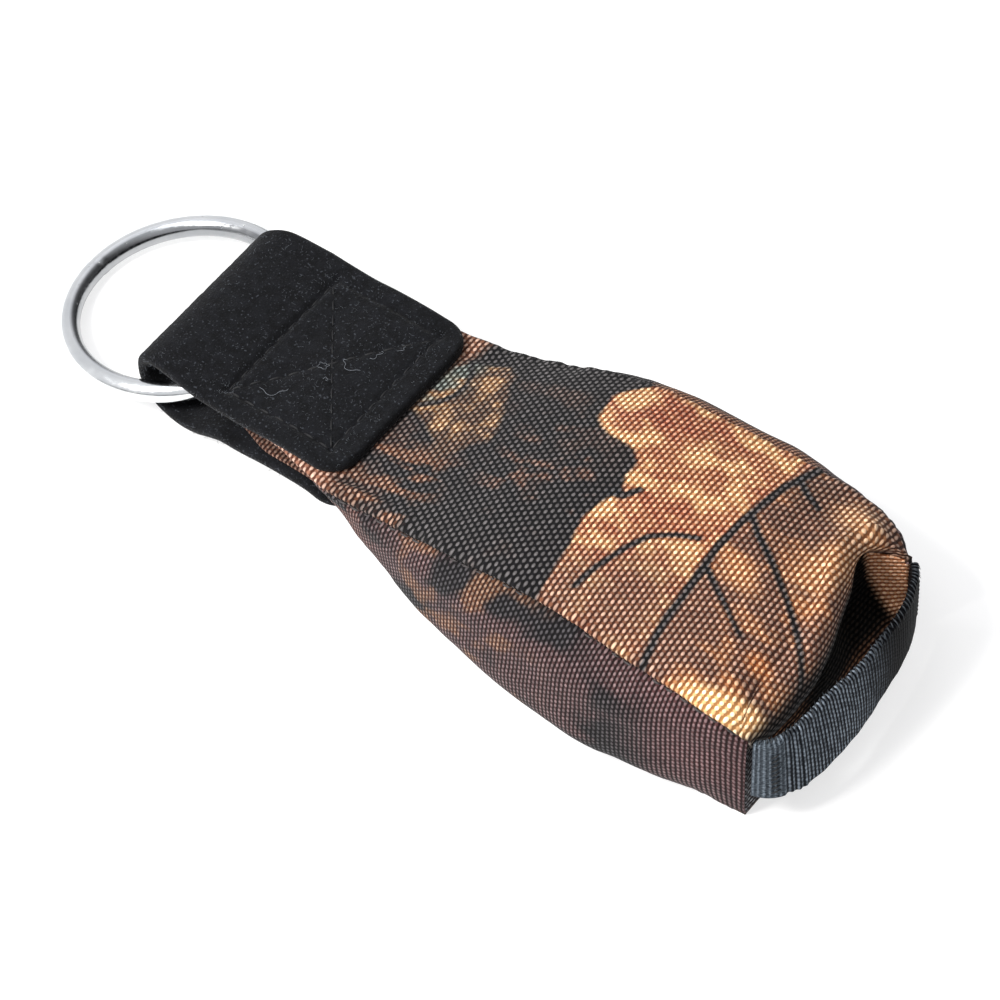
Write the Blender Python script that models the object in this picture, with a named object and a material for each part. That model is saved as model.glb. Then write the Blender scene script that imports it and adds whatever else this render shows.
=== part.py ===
"""Small camouflage training bumper: a wedge shaped pellet bag with a strap, a steel ring and a webbing handle.

The bag lies on its back panel. X runs from the ring to the handle, Y across the bag, Z up.
Lengths below are millimetres measured from the strap's fold (x), the centre line (y) and the table (z).
build() shifts everything so that the middle of the bounding box is at x = 0, and works in metres.
"""
import math

import bmesh
import bpy
from mathutils import Matrix, Vector

# steel ring
RING_RADIUS = 21.0  # centre line of the wire: 38 mm inside diameter
WIRE_RADIUS = 2.0
RING_X = -4.5
RING_Z = 6.45
RING_TILT = math.radians(12.0)

# strap, folded over the ring
STRAP_THICKNESS = 2.2
STRAP_HALF = 19.4
FOLD_HALF = 17.6
LEG_START = 22.9
LEG_END = 46.5
LEG_CORNER = 6.0
LOOP_END = 19.0
HINGE_Z = 11.0

# bag
BAG_START = 22.9
BAG_END = 139.0
CLOTH = 0.8
HEM = 1.6
GAP = 0.35
THREAD = 0.3
GUSSET_START = 46.0
BASE_X = 135.2

# pouch and fill inside the bag
POUCH_CLOTH = 0.5
POUCH_START = 24.0
POUCH_END = 133.4
FILL_START = 60.0
FILL_END = 131.6

# webbing handle
HANDLE_X = 140.0
HANDLE_THICKNESS = 1.4
HANDLE_WIDTH = 15.2
HANDLE_Z = 14.8
HANDLE_AXIS_X = 139.6
HANDLE_BOW = 148.4

RING_END = RING_X - RING_RADIUS * math.cos(RING_TILT) - WIRE_RADIUS
X_MIDDLE = 0.5 * (HANDLE_BOW + RING_END)
LOOP_HINGE = (LOOP_END, 0.0, HINGE_Z)
HANDLE_HINGE = (HANDLE_AXIS_X, 0.0, HANDLE_Z)

# profiles along the bag: distance from the fold, value
SEAM_TOP = [(0, 13.4), (22, 13.6), (30, 14.7), (38, 15.3), (44, 15.3), (50, 16.3), (60, 18.9), (70, 22.7), (80, 26.0),
            (90, 28.0), (105, 28.9), (125, 29.0), (130, 28.5), (134, 27.2), (139, 23.4)]
SEAM_BOTTOM = [(0, 8.1), (22, 8.2), (30, 9.2), (38, 9.6), (43, 8.4), (50, 5.0), (60, 1.6), (68, 0.3), (72, 0.0), (139, 0.0)]
DOME = [(0, 0.0), (40, 0.0), (46, 0.5), (52, 1.6), (60, 2.8), (70, 3.3), (110, 3.3), (122, 3.0), (132, 1.6), (139, 0.0)]
HALF_TOP = [(0, 18.2), (30, 18.6), (38, 20.2), (44, 21.4), (52, 22.0), (60, 22.7), (70, 24.2), (80, 25.2), (100, 25.6),
            (110, 26.2), (120, 26.6), (130, 26.7), (134, 26.0), (139, 24.0)]
HALF_BOTTOM = [(0, 18.2), (40, 18.4), (56, 20.0), (68, 22.0), (83, 25.0), (95, 26.6), (106, 27.2), (116, 26.6),
               (128, 25.0), (139, 24.0)]
BULGE = [(0, 0.0), (46, 0.3), (56, 2.0), (68, 3.6), (83, 5.0), (98, 5.8), (108, 5.8), (120, 4.4), (131, 2.0), (139, 0.0)]


def profile(table, x):
    """Smooth curve through a table of (x, value) points."""
    if x <= table[0][0]:
        return table[0][1]
    for i in range(len(table) - 1):
        x0, y0 = table[i]
        x1, y1 = table[i + 1]
        if x <= x1:
            step = x1 - x0
            before = table[i - 1] if i else (x0 - step, y0)
            after = table[i + 2] if i + 2 < len(table) else (x1 + step, y1)
            rise = y1 - y0
            m0 = slope((y0 - before[1]) / (x0 - before[0]), rise / step) * step
            m1 = slope(rise / step, (after[1] - y1) / (after[0] - x1)) * step
            t = (x - x0) / step
            return (y0 * (2 * t ** 3 - 3 * t ** 2 + 1) + m0 * (t ** 3 - 2 * t ** 2 + t)
                    + y1 * (3 * t ** 2 - 2 * t ** 3) + m1 * (t ** 3 - t ** 2))
    return table[-1][1]


def slope(a, b):
    """Slope at a table point that never overshoots: zero where the curve turns back."""
    if a * b <= 0:
        return 0.0
    return 2 * a * b / (a + b)


def material(name, colour, roughness, metallic=0.0):
    mat = bpy.data.materials.new(name)
    mat.use_nodes = True
    shader = mat.node_tree.nodes["Principled BSDF"]
    shader.inputs["Base Color"].default_value = (*colour, 1.0)
    shader.inputs["Roughness"].default_value = roughness
    shader.inputs["Metallic"].default_value = metallic
    return mat


def add(name, bm, mat, origin=(X_MIDDLE, 0.0, 0.0)):
    """Turn a millimetre bmesh into a named object in metres, with its normals outward and its origin placed."""
    bmesh.ops.recalc_face_normals(bm, faces=bm.faces)
    bm.transform(Matrix.Scale(0.001, 4) @ Matrix.Translation((-origin[0], -origin[1], -origin[2])))
    mesh = bpy.data.meshes.new(name)
    bm.to_mesh(mesh)
    bm.free()
    for face in mesh.polygons:
        face.use_smooth = True
    mesh.materials.append(mat)
    obj = bpy.data.objects.new(name, mesh)
    obj.location = ((origin[0] - X_MIDDLE) / 1000, origin[1] / 1000, origin[2] / 1000)
    PARTS.objects.link(obj)
    return obj


def slab(outer, inner):
    """Closed solid between two grids of points, each a list of rows."""
    bm = bmesh.new()
    top = [[bm.verts.new(p) for p in row] for row in outer]
    low = [[bm.verts.new(p) for p in row] for row in inner]
    rows, columns = len(top), len(top[0])
    for i in range(rows - 1):
        for j in range(columns - 1):
            bm.faces.new((top[i][j], top[i + 1][j], top[i + 1][j + 1], top[i][j + 1]))
            bm.faces.new((low[i][j], low[i][j + 1], low[i + 1][j + 1], low[i + 1][j]))
    for i in range(rows - 1):
        bm.faces.new((top[i][0], low[i][0], low[i + 1][0], top[i + 1][0]))
        bm.faces.new((top[i][-1], top[i + 1][-1], low[i + 1][-1], low[i][-1]))
    for j in range(columns - 1):
        bm.faces.new((top[0][j], top[0][j + 1], low[0][j + 1], low[0][j]))
        bm.faces.new((top[-1][j], low[-1][j], low[-1][j + 1], top[-1][j + 1]))
    return bm


def spread(start, end, count):
    return [start + (end - start) * i / (count - 1) for i in range(count)]


def inset(grid, depth, side):
    """Grid offset by depth(x) along its normals, towards the side given as +1 or -1."""
    rows, columns = len(grid), len(grid[0])
    out = []
    for i in range(rows):
        row = []
        for j in range(columns):
            along = Vector(grid[min(i + 1, rows - 1)][j]) - Vector(grid[max(i - 1, 0)][j])
            across = Vector(grid[i][min(j + 1, columns - 1)]) - Vector(grid[i][max(j - 1, 0)])
            normal = along.cross(across).normalized()
            row.append(Vector(grid[i][j]) + normal * (side * depth(grid[i][j][0])))
        out.append(row)
    return out


def half_width(x, level):
    """Half width of the bag at a height given as 0 (bottom seam) to 1 (top seam)."""
    straight = profile(HALF_BOTTOM, x) * (1 - level) + profile(HALF_TOP, x) * level
    return straight + profile(BULGE, x) * (1 - abs(2 * level - 1) ** 4)


def panel_depth(x):
    """Cloth thickness: the turned-in hem doubles it at the mouth."""
    return CLOTH + (HEM - CLOTH) * max(0.0, min(1.0, (42.0 - x) / 6.0))


def top_point(x, v):
    return (x, v * profile(HALF_TOP, x), profile(SEAM_TOP, x) + profile(DOME, x) * (1 - v * v))


def bottom_point(x, v):
    return (x, v * profile(HALF_BOTTOM, x), profile(SEAM_BOTTOM, x))


def build_front_panel(mat):
    xs = spread(BAG_START, BAG_END, 34)
    outer = [[top_point(x, v) for v in spread(-1, 1, 15)] for x in xs]
    inner = [[(p[0], p[1], p[2] - panel_depth(p[0])) for p in row] for row in outer]
    return add("front_panel", slab(outer, inner), mat)


def build_back_panel(mat):
    xs = spread(BAG_START, 72.0, 16) + spread(76.0, BAG_END, 12)
    outer = [[bottom_point(x, v) for v in spread(-1, 1, 9)] for x in xs]
    inner = [[(p[0], p[1], p[2] + panel_depth(p[0])) for p in row] for row in outer]
    return add("back_panel", slab(outer, inner), mat)


def build_gusset(name, side, mat):
    outer = []
    for x in spread(GUSSET_START, BAG_END, 26):
        low = profile(SEAM_BOTTOM, x) + CLOTH + GAP
        high = profile(SEAM_TOP, x) - CLOTH - GAP
        outer.append([(x, side * half_width(x, t), low + (high - low) * t) for t in spread(0, 1, 11)])
    inner = inset(outer, lambda x: CLOTH, side)
    for row, edge in zip(inner, outer):
        for j in (0, -1):
            row[j] = (edge[j][0], edge[j][1] - side * CLOTH, edge[j][2])
    return add(name, slab(outer, inner), mat)


def build_base_panel(mat):
    heights = spread(1.2, 22.2, 5)
    outer = [[(BASE_X, y, z) for y in spread(-22.6, 22.6, 7)] for z in heights]
    inner = [[(x - CLOTH, y, z) for x, y, z in row] for row in outer]
    return add("base_panel", slab(outer, inner), mat)


def inner_point(x, v, side, clearance, edge):
    """Pillow surface inside the bag: side is +1 above and -1 below; edge is its height over the middle at the rim."""
    hem = panel_depth(x) + GAP
    ceiling = profile(SEAM_TOP, x) + profile(DOME, x) * (1 - v * v) - hem
    floor = profile(SEAM_BOTTOM, x) + hem
    middle = 0.5 * (floor + profile(SEAM_TOP, x) - hem)
    rise = (ceiling - middle if side > 0 else middle - floor) - clearance
    lift = edge + max(0.0, rise - edge) * (1 - abs(v) ** 4)
    return (x, v * (half_width(x, 0.5) - 3.0 - clearance), middle + side * lift)


def build_pouch_half(name, side, mat):
    columns = spread(-1, 1, 15)
    outer = [[inner_point(x, v, side, 0.0, POUCH_CLOTH + 0.18) for v in columns]
             for x in spread(POUCH_START, POUCH_END, 30)]
    inner = [[(p[0], p[1] * (1 - 0.012 * abs(v) ** 3), p[2] - side * POUCH_CLOTH) for p, v in zip(row, columns)]
             for row in outer]
    return add(name, slab(outer, inner), mat)


def rim_height(x):
    return 0.5 * (inner_point(x, 1, 1, 0, 0)[2] + inner_point(x, 1, -1, 0, 0)[2])


def build_fill(mat):
    xs = spread(FILL_START, FILL_END, 22)
    columns = spread(-1, 1, 13)

    def cap(x):
        """Rounds the two ends of the fill."""
        near = min((x - FILL_START) / 8.0, (FILL_END - x) / 5.0, 1.0)
        return 0.45 + 0.55 * math.sqrt(max(0.0, 1 - (1 - near) ** 2))

    def surface(side):
        grid = []
        for x in xs:
            row = []
            for v in columns:
                px, py, pz = inner_point(x, v, side, 1.3, 0.25)
                middle = rim_height(x)
                row.append((px, py * (0.9 + 0.1 * cap(x)), middle + (pz - middle) * cap(x)))
            grid.append(row)
        return grid

    return add("pellet_fill", slab(surface(1), surface(-1)), mat)


def tube(points, radius, sides=6, closed=False):
    """Round cord through points, capped at its ends unless closed."""
    bm = bmesh.new()
    rings = []
    count = len(points)
    points = [Vector(p) for p in points]
    for i, p in enumerate(points):
        if closed:
            tangent = points[(i + 1) % count] - points[i - 1]
        else:
            tangent = points[min(i + 1, count - 1)] - points[max(i - 1, 0)]
        tangent.normalize()
        guide = Vector((0, 0, 1)) if abs(tangent.z) < 0.9 else Vector((0, 1, 0))
        first = tangent.cross(guide).normalized()
        second = tangent.cross(first)
        rings.append([bm.verts.new(p + (first * math.cos(a) + second * math.sin(a)) * radius)
                      for a in (2 * math.pi * k / sides for k in range(sides))])
    links = count if closed else count - 1
    for i in range(links):
        here, there = rings[i], rings[(i + 1) % count]
        for k in range(sides):
            bm.faces.new((here[k], there[k], there[(k + 1) % sides], here[(k + 1) % sides]))
    if not closed:
        bm.faces.new(rings[0][::-1])
        bm.faces.new(rings[-1])
    return bm


def build_box_stitch(name, lift, mat):
    """Box and cross of thread sewn through both legs of the strap; lift(x) is the height of the thread."""
    near, far, half = LEG_START + 2.2, LEG_END - 4.6, 15.4
    corners = [(near, -half), (far, -half), (far, half), (near, half)]
    loop = []
    for i, corner in enumerate(corners):
        loop += [lifted(corner, corners[(i + 1) % 4], k / 6, lift) for k in range(6)]
    box = add(name, tube(loop, THREAD, closed=True), mat)
    for k, (start, end) in enumerate(((corners[0], corners[2]), (corners[1], corners[3]))):
        line = [lifted(start, end, i / 10, lift) for i in range(11)]
        cutter = add(f"{name}_cross_{k}", tube(line, THREAD * (0.92 - 0.07 * k), sides=7 + k), mat)
        PARTS.objects.unlink(cutter)
        CUTTERS.objects.link(cutter)
        cutter.hide_render = True
        cutter.display_type = "WIRE"
        union = box.modifiers.new(f"cross_{k}", "BOOLEAN")
        union.operation = "UNION"
        union.solver = "EXACT"
        union.object = cutter
    return box


def lifted(start, end, t, lift):
    x = start[0] + (end[0] - start[0]) * t
    return (x, start[1] + (end[1] - start[1]) * t, lift(x))


def build_pouch_thread(mat):
    """Thread round the two sides and the end of the pouch; the strap's stitching closes its mouth."""
    points = []
    for side in (1, -1):
        xs = spread(48.0, POUCH_END, 22)
        for x in (xs if side > 0 else xs[::-1]):
            ahead = 0.7 if x > POUCH_END - 1 else 0.0
            points.append((x + ahead, side * (half_width(x, 0.5) - 2.1), rim_height(x)))
    return add("pouch_thread", tube(points, THREAD), mat)


def build_seam_thread(name, top, side, mat):
    """Lockstitch thread lying in the corner groove of one long seam."""
    points = []
    for x in spread(GUSSET_START + 1.0, BAG_END - 0.5, 26):
        seam, half = (SEAM_TOP, HALF_TOP) if top else (SEAM_BOTTOM, HALF_BOTTOM)
        height = profile(seam, x) + (-0.5 if top else 0.5)
        points.append((x, side * (profile(half, x) + 0.65), height))
    return add(name, tube(points, THREAD), mat)


def build_base_thread(name, height, mat):
    points = [(BAG_END + 0.65, y, height) for y in spread(-20.0, 20.0, 9)]
    return add(name, tube(points, THREAD), mat)


def front_leg_floor(x):
    return profile(SEAM_TOP, x) + profile(DOME, x) + GAP


def back_leg_ceiling(x):
    return profile(SEAM_BOTTOM, x) - GAP


def build_leg(name, front, mat):
    """One sewn leg of the strap, with its rounded end."""
    outer, inner = [], []
    for u in spread(0, 1, 12):
        top_row, low_row = [], []
        for y in [-STRAP_HALF, -18.6, -17.2, -15.5, -13.4, -7, 0, 7, 13.4, 15.5, 17.2, 18.6, STRAP_HALF]:
            over = max(0.0, abs(y) - (STRAP_HALF - LEG_CORNER))
            end = LEG_END - LEG_CORNER + math.sqrt(max(0.0, LEG_CORNER ** 2 - over ** 2))
            x = LEG_START + (end - LEG_START) * u
            base = front_leg_floor(x) if front else back_leg_ceiling(x) - STRAP_THICKNESS
            top_row.append((x, y, base + STRAP_THICKNESS))
            low_row.append((x, y, base))
        outer.append(top_row)
        inner.append(low_row)
    return add(name, slab(outer, inner), mat)


def loop_path():
    """Middle of the strap's thickness round the fold, from the front side to the back side."""
    points = [(LOOP_END, 15.1), (13.0, 15.1), (8.0, 15.0)]
    radius = 6.05
    for i in range(1, 10):
        angle = math.pi * i / 10
        z = 9.0 + radius * math.cos(angle)
        points.append((7.2 - 7.85 * math.sin(angle) + 0.16 * (15.0 - z), z))
    return points + [(9.8, 2.95), (12.5, 3.8), (15.6, 5.3), (LOOP_END, 6.8)]


def build_loop(mat):
    path = loop_path()
    outer, inner = [], []
    for i, (x, z) in enumerate(path):
        x0, z0 = path[max(i - 1, 0)]
        x1, z1 = path[min(i + 1, len(path) - 1)]
        length = math.hypot(x1 - x0, z1 - z0)
        nx, nz = -(z1 - z0) / length, (x1 - x0) / length
        if i in (0, len(path) - 1):
            nx, nz = 0.0, math.copysign(1.0, nz)
        half = FOLD_HALF + (STRAP_HALF - FOLD_HALF) * min(1.0, max(0.0, x / 14.0)) ** 0.8
        out_row, in_row = [], []
        for v in (-1, -0.97, -0.5, 0, 0.5, 0.97, 1):
            out_row.append((x - nx * STRAP_THICKNESS / 2, v * half, z - nz * STRAP_THICKNESS / 2))
            in_row.append((x + nx * STRAP_THICKNESS / 2, v * half, z + nz * STRAP_THICKNESS / 2))
        outer.append(out_row)
        inner.append(in_row)
    return add("strap_loop", slab(outer, inner), mat, LOOP_HINGE)


def build_ring(mat):
    points = []
    for i in range(72):
        a = 2 * math.pi * i / 72
        along, across = RING_RADIUS * math.cos(a), RING_RADIUS * math.sin(a)
        points.append((RING_X + along * math.cos(RING_TILT), across, RING_Z + along * math.sin(RING_TILT)))
    bm = bmesh.new()
    rows = []
    for i, p in enumerate(points):
        a = 2 * math.pi * i / 72
        radial = Vector((math.cos(a) * math.cos(RING_TILT), math.sin(a), math.cos(a) * math.sin(RING_TILT)))
        axis = Vector((-math.sin(RING_TILT), 0, math.cos(RING_TILT)))
        rows.append([bm.verts.new(Vector(p) + (radial * math.cos(b) + axis * math.sin(b)) * WIRE_RADIUS)
                     for b in (2 * math.pi * k / 16 for k in range(16))])
    for i in range(72):
        for k in range(16):
            bm.faces.new((rows[i][k], rows[(i + 1) % 72][k], rows[(i + 1) % 72][(k + 1) % 16], rows[i][(k + 1) % 16]))
    return add("steel_ring", bm, mat, (RING_X, 0.0, RING_Z))


def handle_edges():
    """Plan lines of the webbing's upper and lower edges, from its left end round to its right end, as (x, y)."""
    upper = [(HANDLE_X, -22.3), (141.6, -21.4), (142.8, -19.6), (143.4, -16.7), (143.7, -13.0), (143.95, -9.2),
             (144.3, -5.2), (144.6, -1.0), (144.7, 3.2), (144.5, 7.6), (144.2, 11.6), (143.7, 15.2), (142.9, 18.0),
             (141.9, 20.1), (140.9, 21.5), (HANDLE_X, 22.3)]
    lower = [(HANDLE_X, -22.3), (142.6, -21.9), (144.8, -20.2), (146.4, -17.2), (147.3, -13.4), (147.7, -9.4),
             (147.6, -5.2), (147.2, -1.0), (146.7, 3.2), (146.0, 7.6), (145.2, 11.6), (144.2, 15.4), (143.2, 18.2),
             (142.1, 20.3), (141.0, 21.6), (HANDLE_X, 22.3)]
    return upper, lower


def handle_point(step, level, offset):
    """Point of the webbing: step along its edges, level from lower edge (0) to upper (1), offset outward."""
    upper, lower = handle_edges()
    i = min(int(step), len(upper) - 2)
    t = step - i
    rows = [[u * level + v * (1 - level) for u, v in zip(upper[k], lower[k])] for k in (i, i + 1)]
    before = [u * level + v * (1 - level) for u, v in zip(upper[max(i - 1, 0)], lower[max(i - 1, 0)])]
    dx, dy = rows[1][0] - before[0], rows[1][1] - before[1]
    if i == 0 or t > 0.5:
        dx, dy = rows[1][0] - rows[0][0], rows[1][1] - rows[0][1]
    length = math.hypot(dx, dy)
    x, y = rows[0][0] + (rows[1][0] - rows[0][0]) * t, rows[0][1] + (rows[1][1] - rows[0][1]) * t
    return (x + dy / length * offset, y - dx / length * offset, HANDLE_Z + HANDLE_WIDTH * (level - 0.5))


def build_handle(mat):
    levels = spread(0.0, 1.0, 5)
    steps = range(len(handle_edges()[0]))
    outer = [[handle_point(i, v, HANDLE_THICKNESS / 2) for v in levels] for i in steps]
    inner = [[handle_point(i, v, -HANDLE_THICKNESS / 2) for v in levels] for i in steps]
    return add("base_handle", slab(outer, inner), mat, HANDLE_HINGE)


def build_tack(name, side, mat):
    """Zigzag bar tack that holds one end of the webbing."""
    points = []
    for i in range(11):
        swing = 0.7 if i % 2 else 0.0
        step = 1.2 + swing if side < 0 else 13.4 - swing
        points.append(handle_point(step, 0.14 + 0.072 * i, HANDLE_THICKNESS / 2 + 0.7))
    return add(name, tube(points, 0.25, sides=5), mat, HANDLE_HINGE)


def build():
    camo = material("camo_cloth", (0.42, 0.25, 0.12), 0.75)
    camo_back = material("camo_cloth_back", (0.16, 0.11, 0.09), 0.8)
    side_left = material("gusset_cloth_left", (0.12, 0.09, 0.09), 0.8)
    side_right = material("gusset_cloth_right", (0.13, 0.09, 0.08), 0.8)
    base_cloth = material("base_cloth", (0.3, 0.18, 0.1), 0.8)
    build_front_panel(camo)
    build_back_panel(camo_back)
    build_gusset("left_gusset", -1, side_left)
    build_gusset("right_gusset", 1, side_right)
    build_base_panel(base_cloth)
    build_pouch_half("pouch_front", 1, material("pouch_cloth_front", (0.75, 0.72, 0.65), 0.9))
    build_pouch_half("pouch_back", -1, material("pouch_cloth_back", (0.72, 0.69, 0.62), 0.9))
    build_fill(material("pellets", (0.8, 0.8, 0.78), 0.5))
    build_pouch_thread(material("pouch_thread_white", (0.85, 0.85, 0.82), 0.8))
    for name, top, side in (("seam_thread_front_left", True, -1), ("seam_thread_front_right", True, 1),
                            ("seam_thread_back_left", False, -1), ("seam_thread_back_right", False, 1)):
        build_seam_thread(name, top, side, material(name + "_mat", (0.05, 0.045, 0.04), 0.7))
    build_base_thread("base_thread_front", 22.9, material("base_thread_front_mat", (0.05, 0.045, 0.04), 0.7))
    build_base_thread("base_thread_back", 0.5, material("base_thread_back_mat", (0.05, 0.045, 0.04), 0.7))

    build_leg("strap_front_leg", True, material("strap_black_front", (0.012, 0.012, 0.013), 0.95))
    build_leg("strap_back_leg", False, material("strap_black_back", (0.012, 0.012, 0.013), 0.95))
    build_box_stitch("box_stitch_front", lambda x: front_leg_floor(x) + STRAP_THICKNESS + GAP + THREAD,
                     material("needle_thread", (0.02, 0.02, 0.02), 0.6))
    build_box_stitch("box_stitch_back", lambda x: back_leg_ceiling(x) - STRAP_THICKNESS - GAP - THREAD,
                     material("bobbin_thread", (0.02, 0.02, 0.02), 0.6))

    build_loop(material("strap_black_loop", (0.012, 0.012, 0.013), 0.95))
    build_ring(material("polished_steel", (0.62, 0.62, 0.63), 0.18, 1.0))

    build_handle(material("black_webbing", (0.02, 0.021, 0.024), 0.6))
    build_tack("handle_tack_left", -1, material("tack_thread_left", (0.03, 0.03, 0.03), 0.6))
    build_tack("handle_tack_right", 1, material("tack_thread_right", (0.03, 0.03, 0.03), 0.6))


for old in list(bpy.data.objects):
    bpy.data.objects.remove(old, do_unlink=True)
PARTS = bpy.data.collections.new("training_bumper")
bpy.context.scene.collection.children.link(PARTS)
CUTTERS = bpy.data.collections.new("training_bumper_cutters")
bpy.context.scene.collection.children.link(CUTTERS)
build()
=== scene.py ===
"""Looks for the training bumper: camouflage bag, black strap, steel ring and webbing handle.

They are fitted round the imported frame. Shapes are worked out in millimetres, with x from the strap's
fold, y across and z up, and placed in metres.
"""
import math
import random

import bmesh
import bpy
import numpy as np
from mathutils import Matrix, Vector

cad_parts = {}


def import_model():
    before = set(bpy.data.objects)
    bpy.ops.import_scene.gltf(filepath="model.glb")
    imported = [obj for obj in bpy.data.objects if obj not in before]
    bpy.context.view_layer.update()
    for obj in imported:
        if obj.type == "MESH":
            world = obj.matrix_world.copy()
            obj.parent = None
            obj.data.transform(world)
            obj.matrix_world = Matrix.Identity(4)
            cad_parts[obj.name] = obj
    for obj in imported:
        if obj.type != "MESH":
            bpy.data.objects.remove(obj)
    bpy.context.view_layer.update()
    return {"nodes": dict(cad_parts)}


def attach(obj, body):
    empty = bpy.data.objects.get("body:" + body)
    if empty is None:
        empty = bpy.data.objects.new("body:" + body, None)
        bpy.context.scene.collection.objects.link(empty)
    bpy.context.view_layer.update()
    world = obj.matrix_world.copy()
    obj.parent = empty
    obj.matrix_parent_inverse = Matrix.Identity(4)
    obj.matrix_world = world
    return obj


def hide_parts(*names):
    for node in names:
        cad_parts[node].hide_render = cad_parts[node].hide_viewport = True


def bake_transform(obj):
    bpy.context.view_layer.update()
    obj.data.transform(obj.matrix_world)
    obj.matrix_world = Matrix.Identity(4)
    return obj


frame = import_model()

RING_RADIUS, WIRE_RADIUS = 21.0, 2.0
RING_X, RING_Z, RING_TILT = -4.5, 6.45, math.radians(12.0)
X_MIDDLE = 0.5 * (148.4 + RING_X - RING_RADIUS * math.cos(RING_TILT) - WIRE_RADIUS)

# Along the bag: heights of the two long seams, rise of the front between its seams, half widths at the
# front and the back, and how far the sides bulge between them.
SEAM_TOP = [(0, 13.4), (22, 13.6), (30, 14.7), (38, 15.3), (44, 15.3), (50, 16.3), (60, 18.9), (70, 22.7),
            (80, 26.0), (90, 28.0), (105, 28.9), (125, 29.0), (130, 28.5), (134, 27.2), (139, 23.4)]
SEAM_BOTTOM = [(0, 8.1), (22, 8.2), (30, 9.2), (38, 9.6), (43, 8.4), (50, 5.0), (60, 1.6), (68, 0.3),
               (72, 0.0), (139, 0.0)]
DOME = [(0, 0.0), (40, 0.0), (46, 0.5), (52, 1.6), (60, 2.8), (70, 3.3), (110, 3.3), (122, 3.0), (132, 2.0),
        (139, 1.0)]
HALF_TOP = [(0, 18.2), (30, 18.6), (38, 20.2), (44, 21.4), (52, 22.0), (60, 22.7), (70, 24.2), (80, 25.2),
            (100, 25.6), (110, 26.2), (120, 26.6), (130, 26.7), (134, 26.0), (139, 24.0)]
HALF_BOTTOM = [(0, 18.2), (40, 18.4), (56, 20.0), (68, 22.0), (83, 25.0), (95, 26.6), (106, 27.2),
               (116, 26.6), (128, 25.0), (139, 24.0)]
BULGE = [(0, 0.0), (46, 0.3), (56, 2.0), (68, 3.6), (83, 5.0), (98, 5.8), (108, 5.8), (120, 4.4),
         (131, 2.0), (139, 0.3)]
GAP = 0.35
STRAP_THICKNESS = 2.4
STRAP_HALF, FOLD_HALF = 19.4, 17.6
LEG_END, LEG_CORNER = 46.5, 6.0
NECK_START = 19.3
BAG_END, PANEL_END = 139.0, 138.9
POUCH_START, POUCH_END = 42.5, 129.0
STITCH_PITCH, STITCH_GAP = 3.4, 0.9


# ---------------------------------------------------------------- numbers

def curve(table, x):
    """Smooth monotone curve through a table of points, for an array of x."""
    xs = np.array([p[0] for p in table], float)
    ys = np.array([p[1] for p in table], float)
    x = np.clip(np.asarray(x, float), xs[0], xs[-1])
    secant = np.diff(ys) / np.diff(xs)
    left, right = np.r_[secant[:1], secant], np.r_[secant, secant[-1:]]
    total = np.where(left * right > 0, left + right, 1.0)
    slope = np.where(left * right > 0, 2 * left * right / total, 0.0)
    i = np.clip(np.searchsorted(xs, x) - 1, 0, len(xs) - 2)
    step = xs[i + 1] - xs[i]
    t = (x - xs[i]) / step
    return (ys[i] * (2 * t ** 3 - 3 * t ** 2 + 1) + slope[i] * step * (t ** 3 - 2 * t ** 2 + t)
            + ys[i + 1] * (3 * t ** 2 - 2 * t ** 3) + slope[i + 1] * step * (t ** 3 - t ** 2))


def directions(line):
    """Unit direction of a line at each of its points."""
    steps = np.gradient(line, axis=0)
    return steps / np.linalg.norm(steps, axis=1, keepdims=True)


def lengths(line):
    """How far along a flat line each of its points is."""
    return np.r_[0, np.cumsum(np.hypot(*np.diff(line, axis=0).T))]


def smooth(edge0, edge1, x):
    """Soft step from 0 at one edge to 1 at the other."""
    t = np.clip((x - edge0) / (edge1 - edge0), 0, 1)
    return t * t * (3 - 2 * t)


def lattice(ix, iy, seed):
    """Repeatable random value from 0 to 1 at whole-number places."""
    h = (ix.astype(np.int64) * 374761393 + iy.astype(np.int64) * 668265263 + seed * 362437) & 0xFFFFFFFF
    h = ((h ^ (h >> 13)) * 1274126177) & 0xFFFFFFFF
    return ((h ^ (h >> 16)) & 0xFFFF) / 65535.0


def noise(x, y, seed=0):
    x, y = np.asarray(x, float), np.asarray(y, float)
    ix, iy = np.floor(x), np.floor(y)
    fx, fy = x - ix, y - iy
    fx, fy = fx * fx * (3 - 2 * fx), fy * fy * (3 - 2 * fy)
    low = lattice(ix, iy, seed) * (1 - fx) + lattice(ix + 1, iy, seed) * fx
    high = lattice(ix, iy + 1, seed) * (1 - fx) + lattice(ix + 1, iy + 1, seed) * fx
    return low * (1 - fy) + high * fy


def cloud(x, y, seed=0, octaves=4):
    """Layered noise from 0 to 1."""
    total, weight = 0.0, 0.0
    for k in range(octaves):
        a = 0.5 ** k
        total = total + a * noise(x * 2 ** k + 17.3 * k, y * 2 ** k - 9.1 * k, seed + 31 * k)
        weight += a
    return total / weight


def near_line(x, y, points):
    """Distance from each point to an open line of points, and how far along it from 0 to 1."""
    best, along = np.full(np.shape(x), 1e9), np.zeros(np.shape(x))
    count = len(points) - 1
    for k in range(count):
        (ax, ay), (bx, by) = points[k], points[k + 1]
        dx, dy = bx - ax, by - ay
        t = np.clip(((x - ax) * dx + (y - ay) * dy) / (dx * dx + dy * dy), 0, 1)
        d = np.hypot(x - ax - t * dx, y - ay - t * dy)
        along = np.where(d < best, (k + t) / count, along)
        best = np.minimum(best, d)
    return best, along


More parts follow.
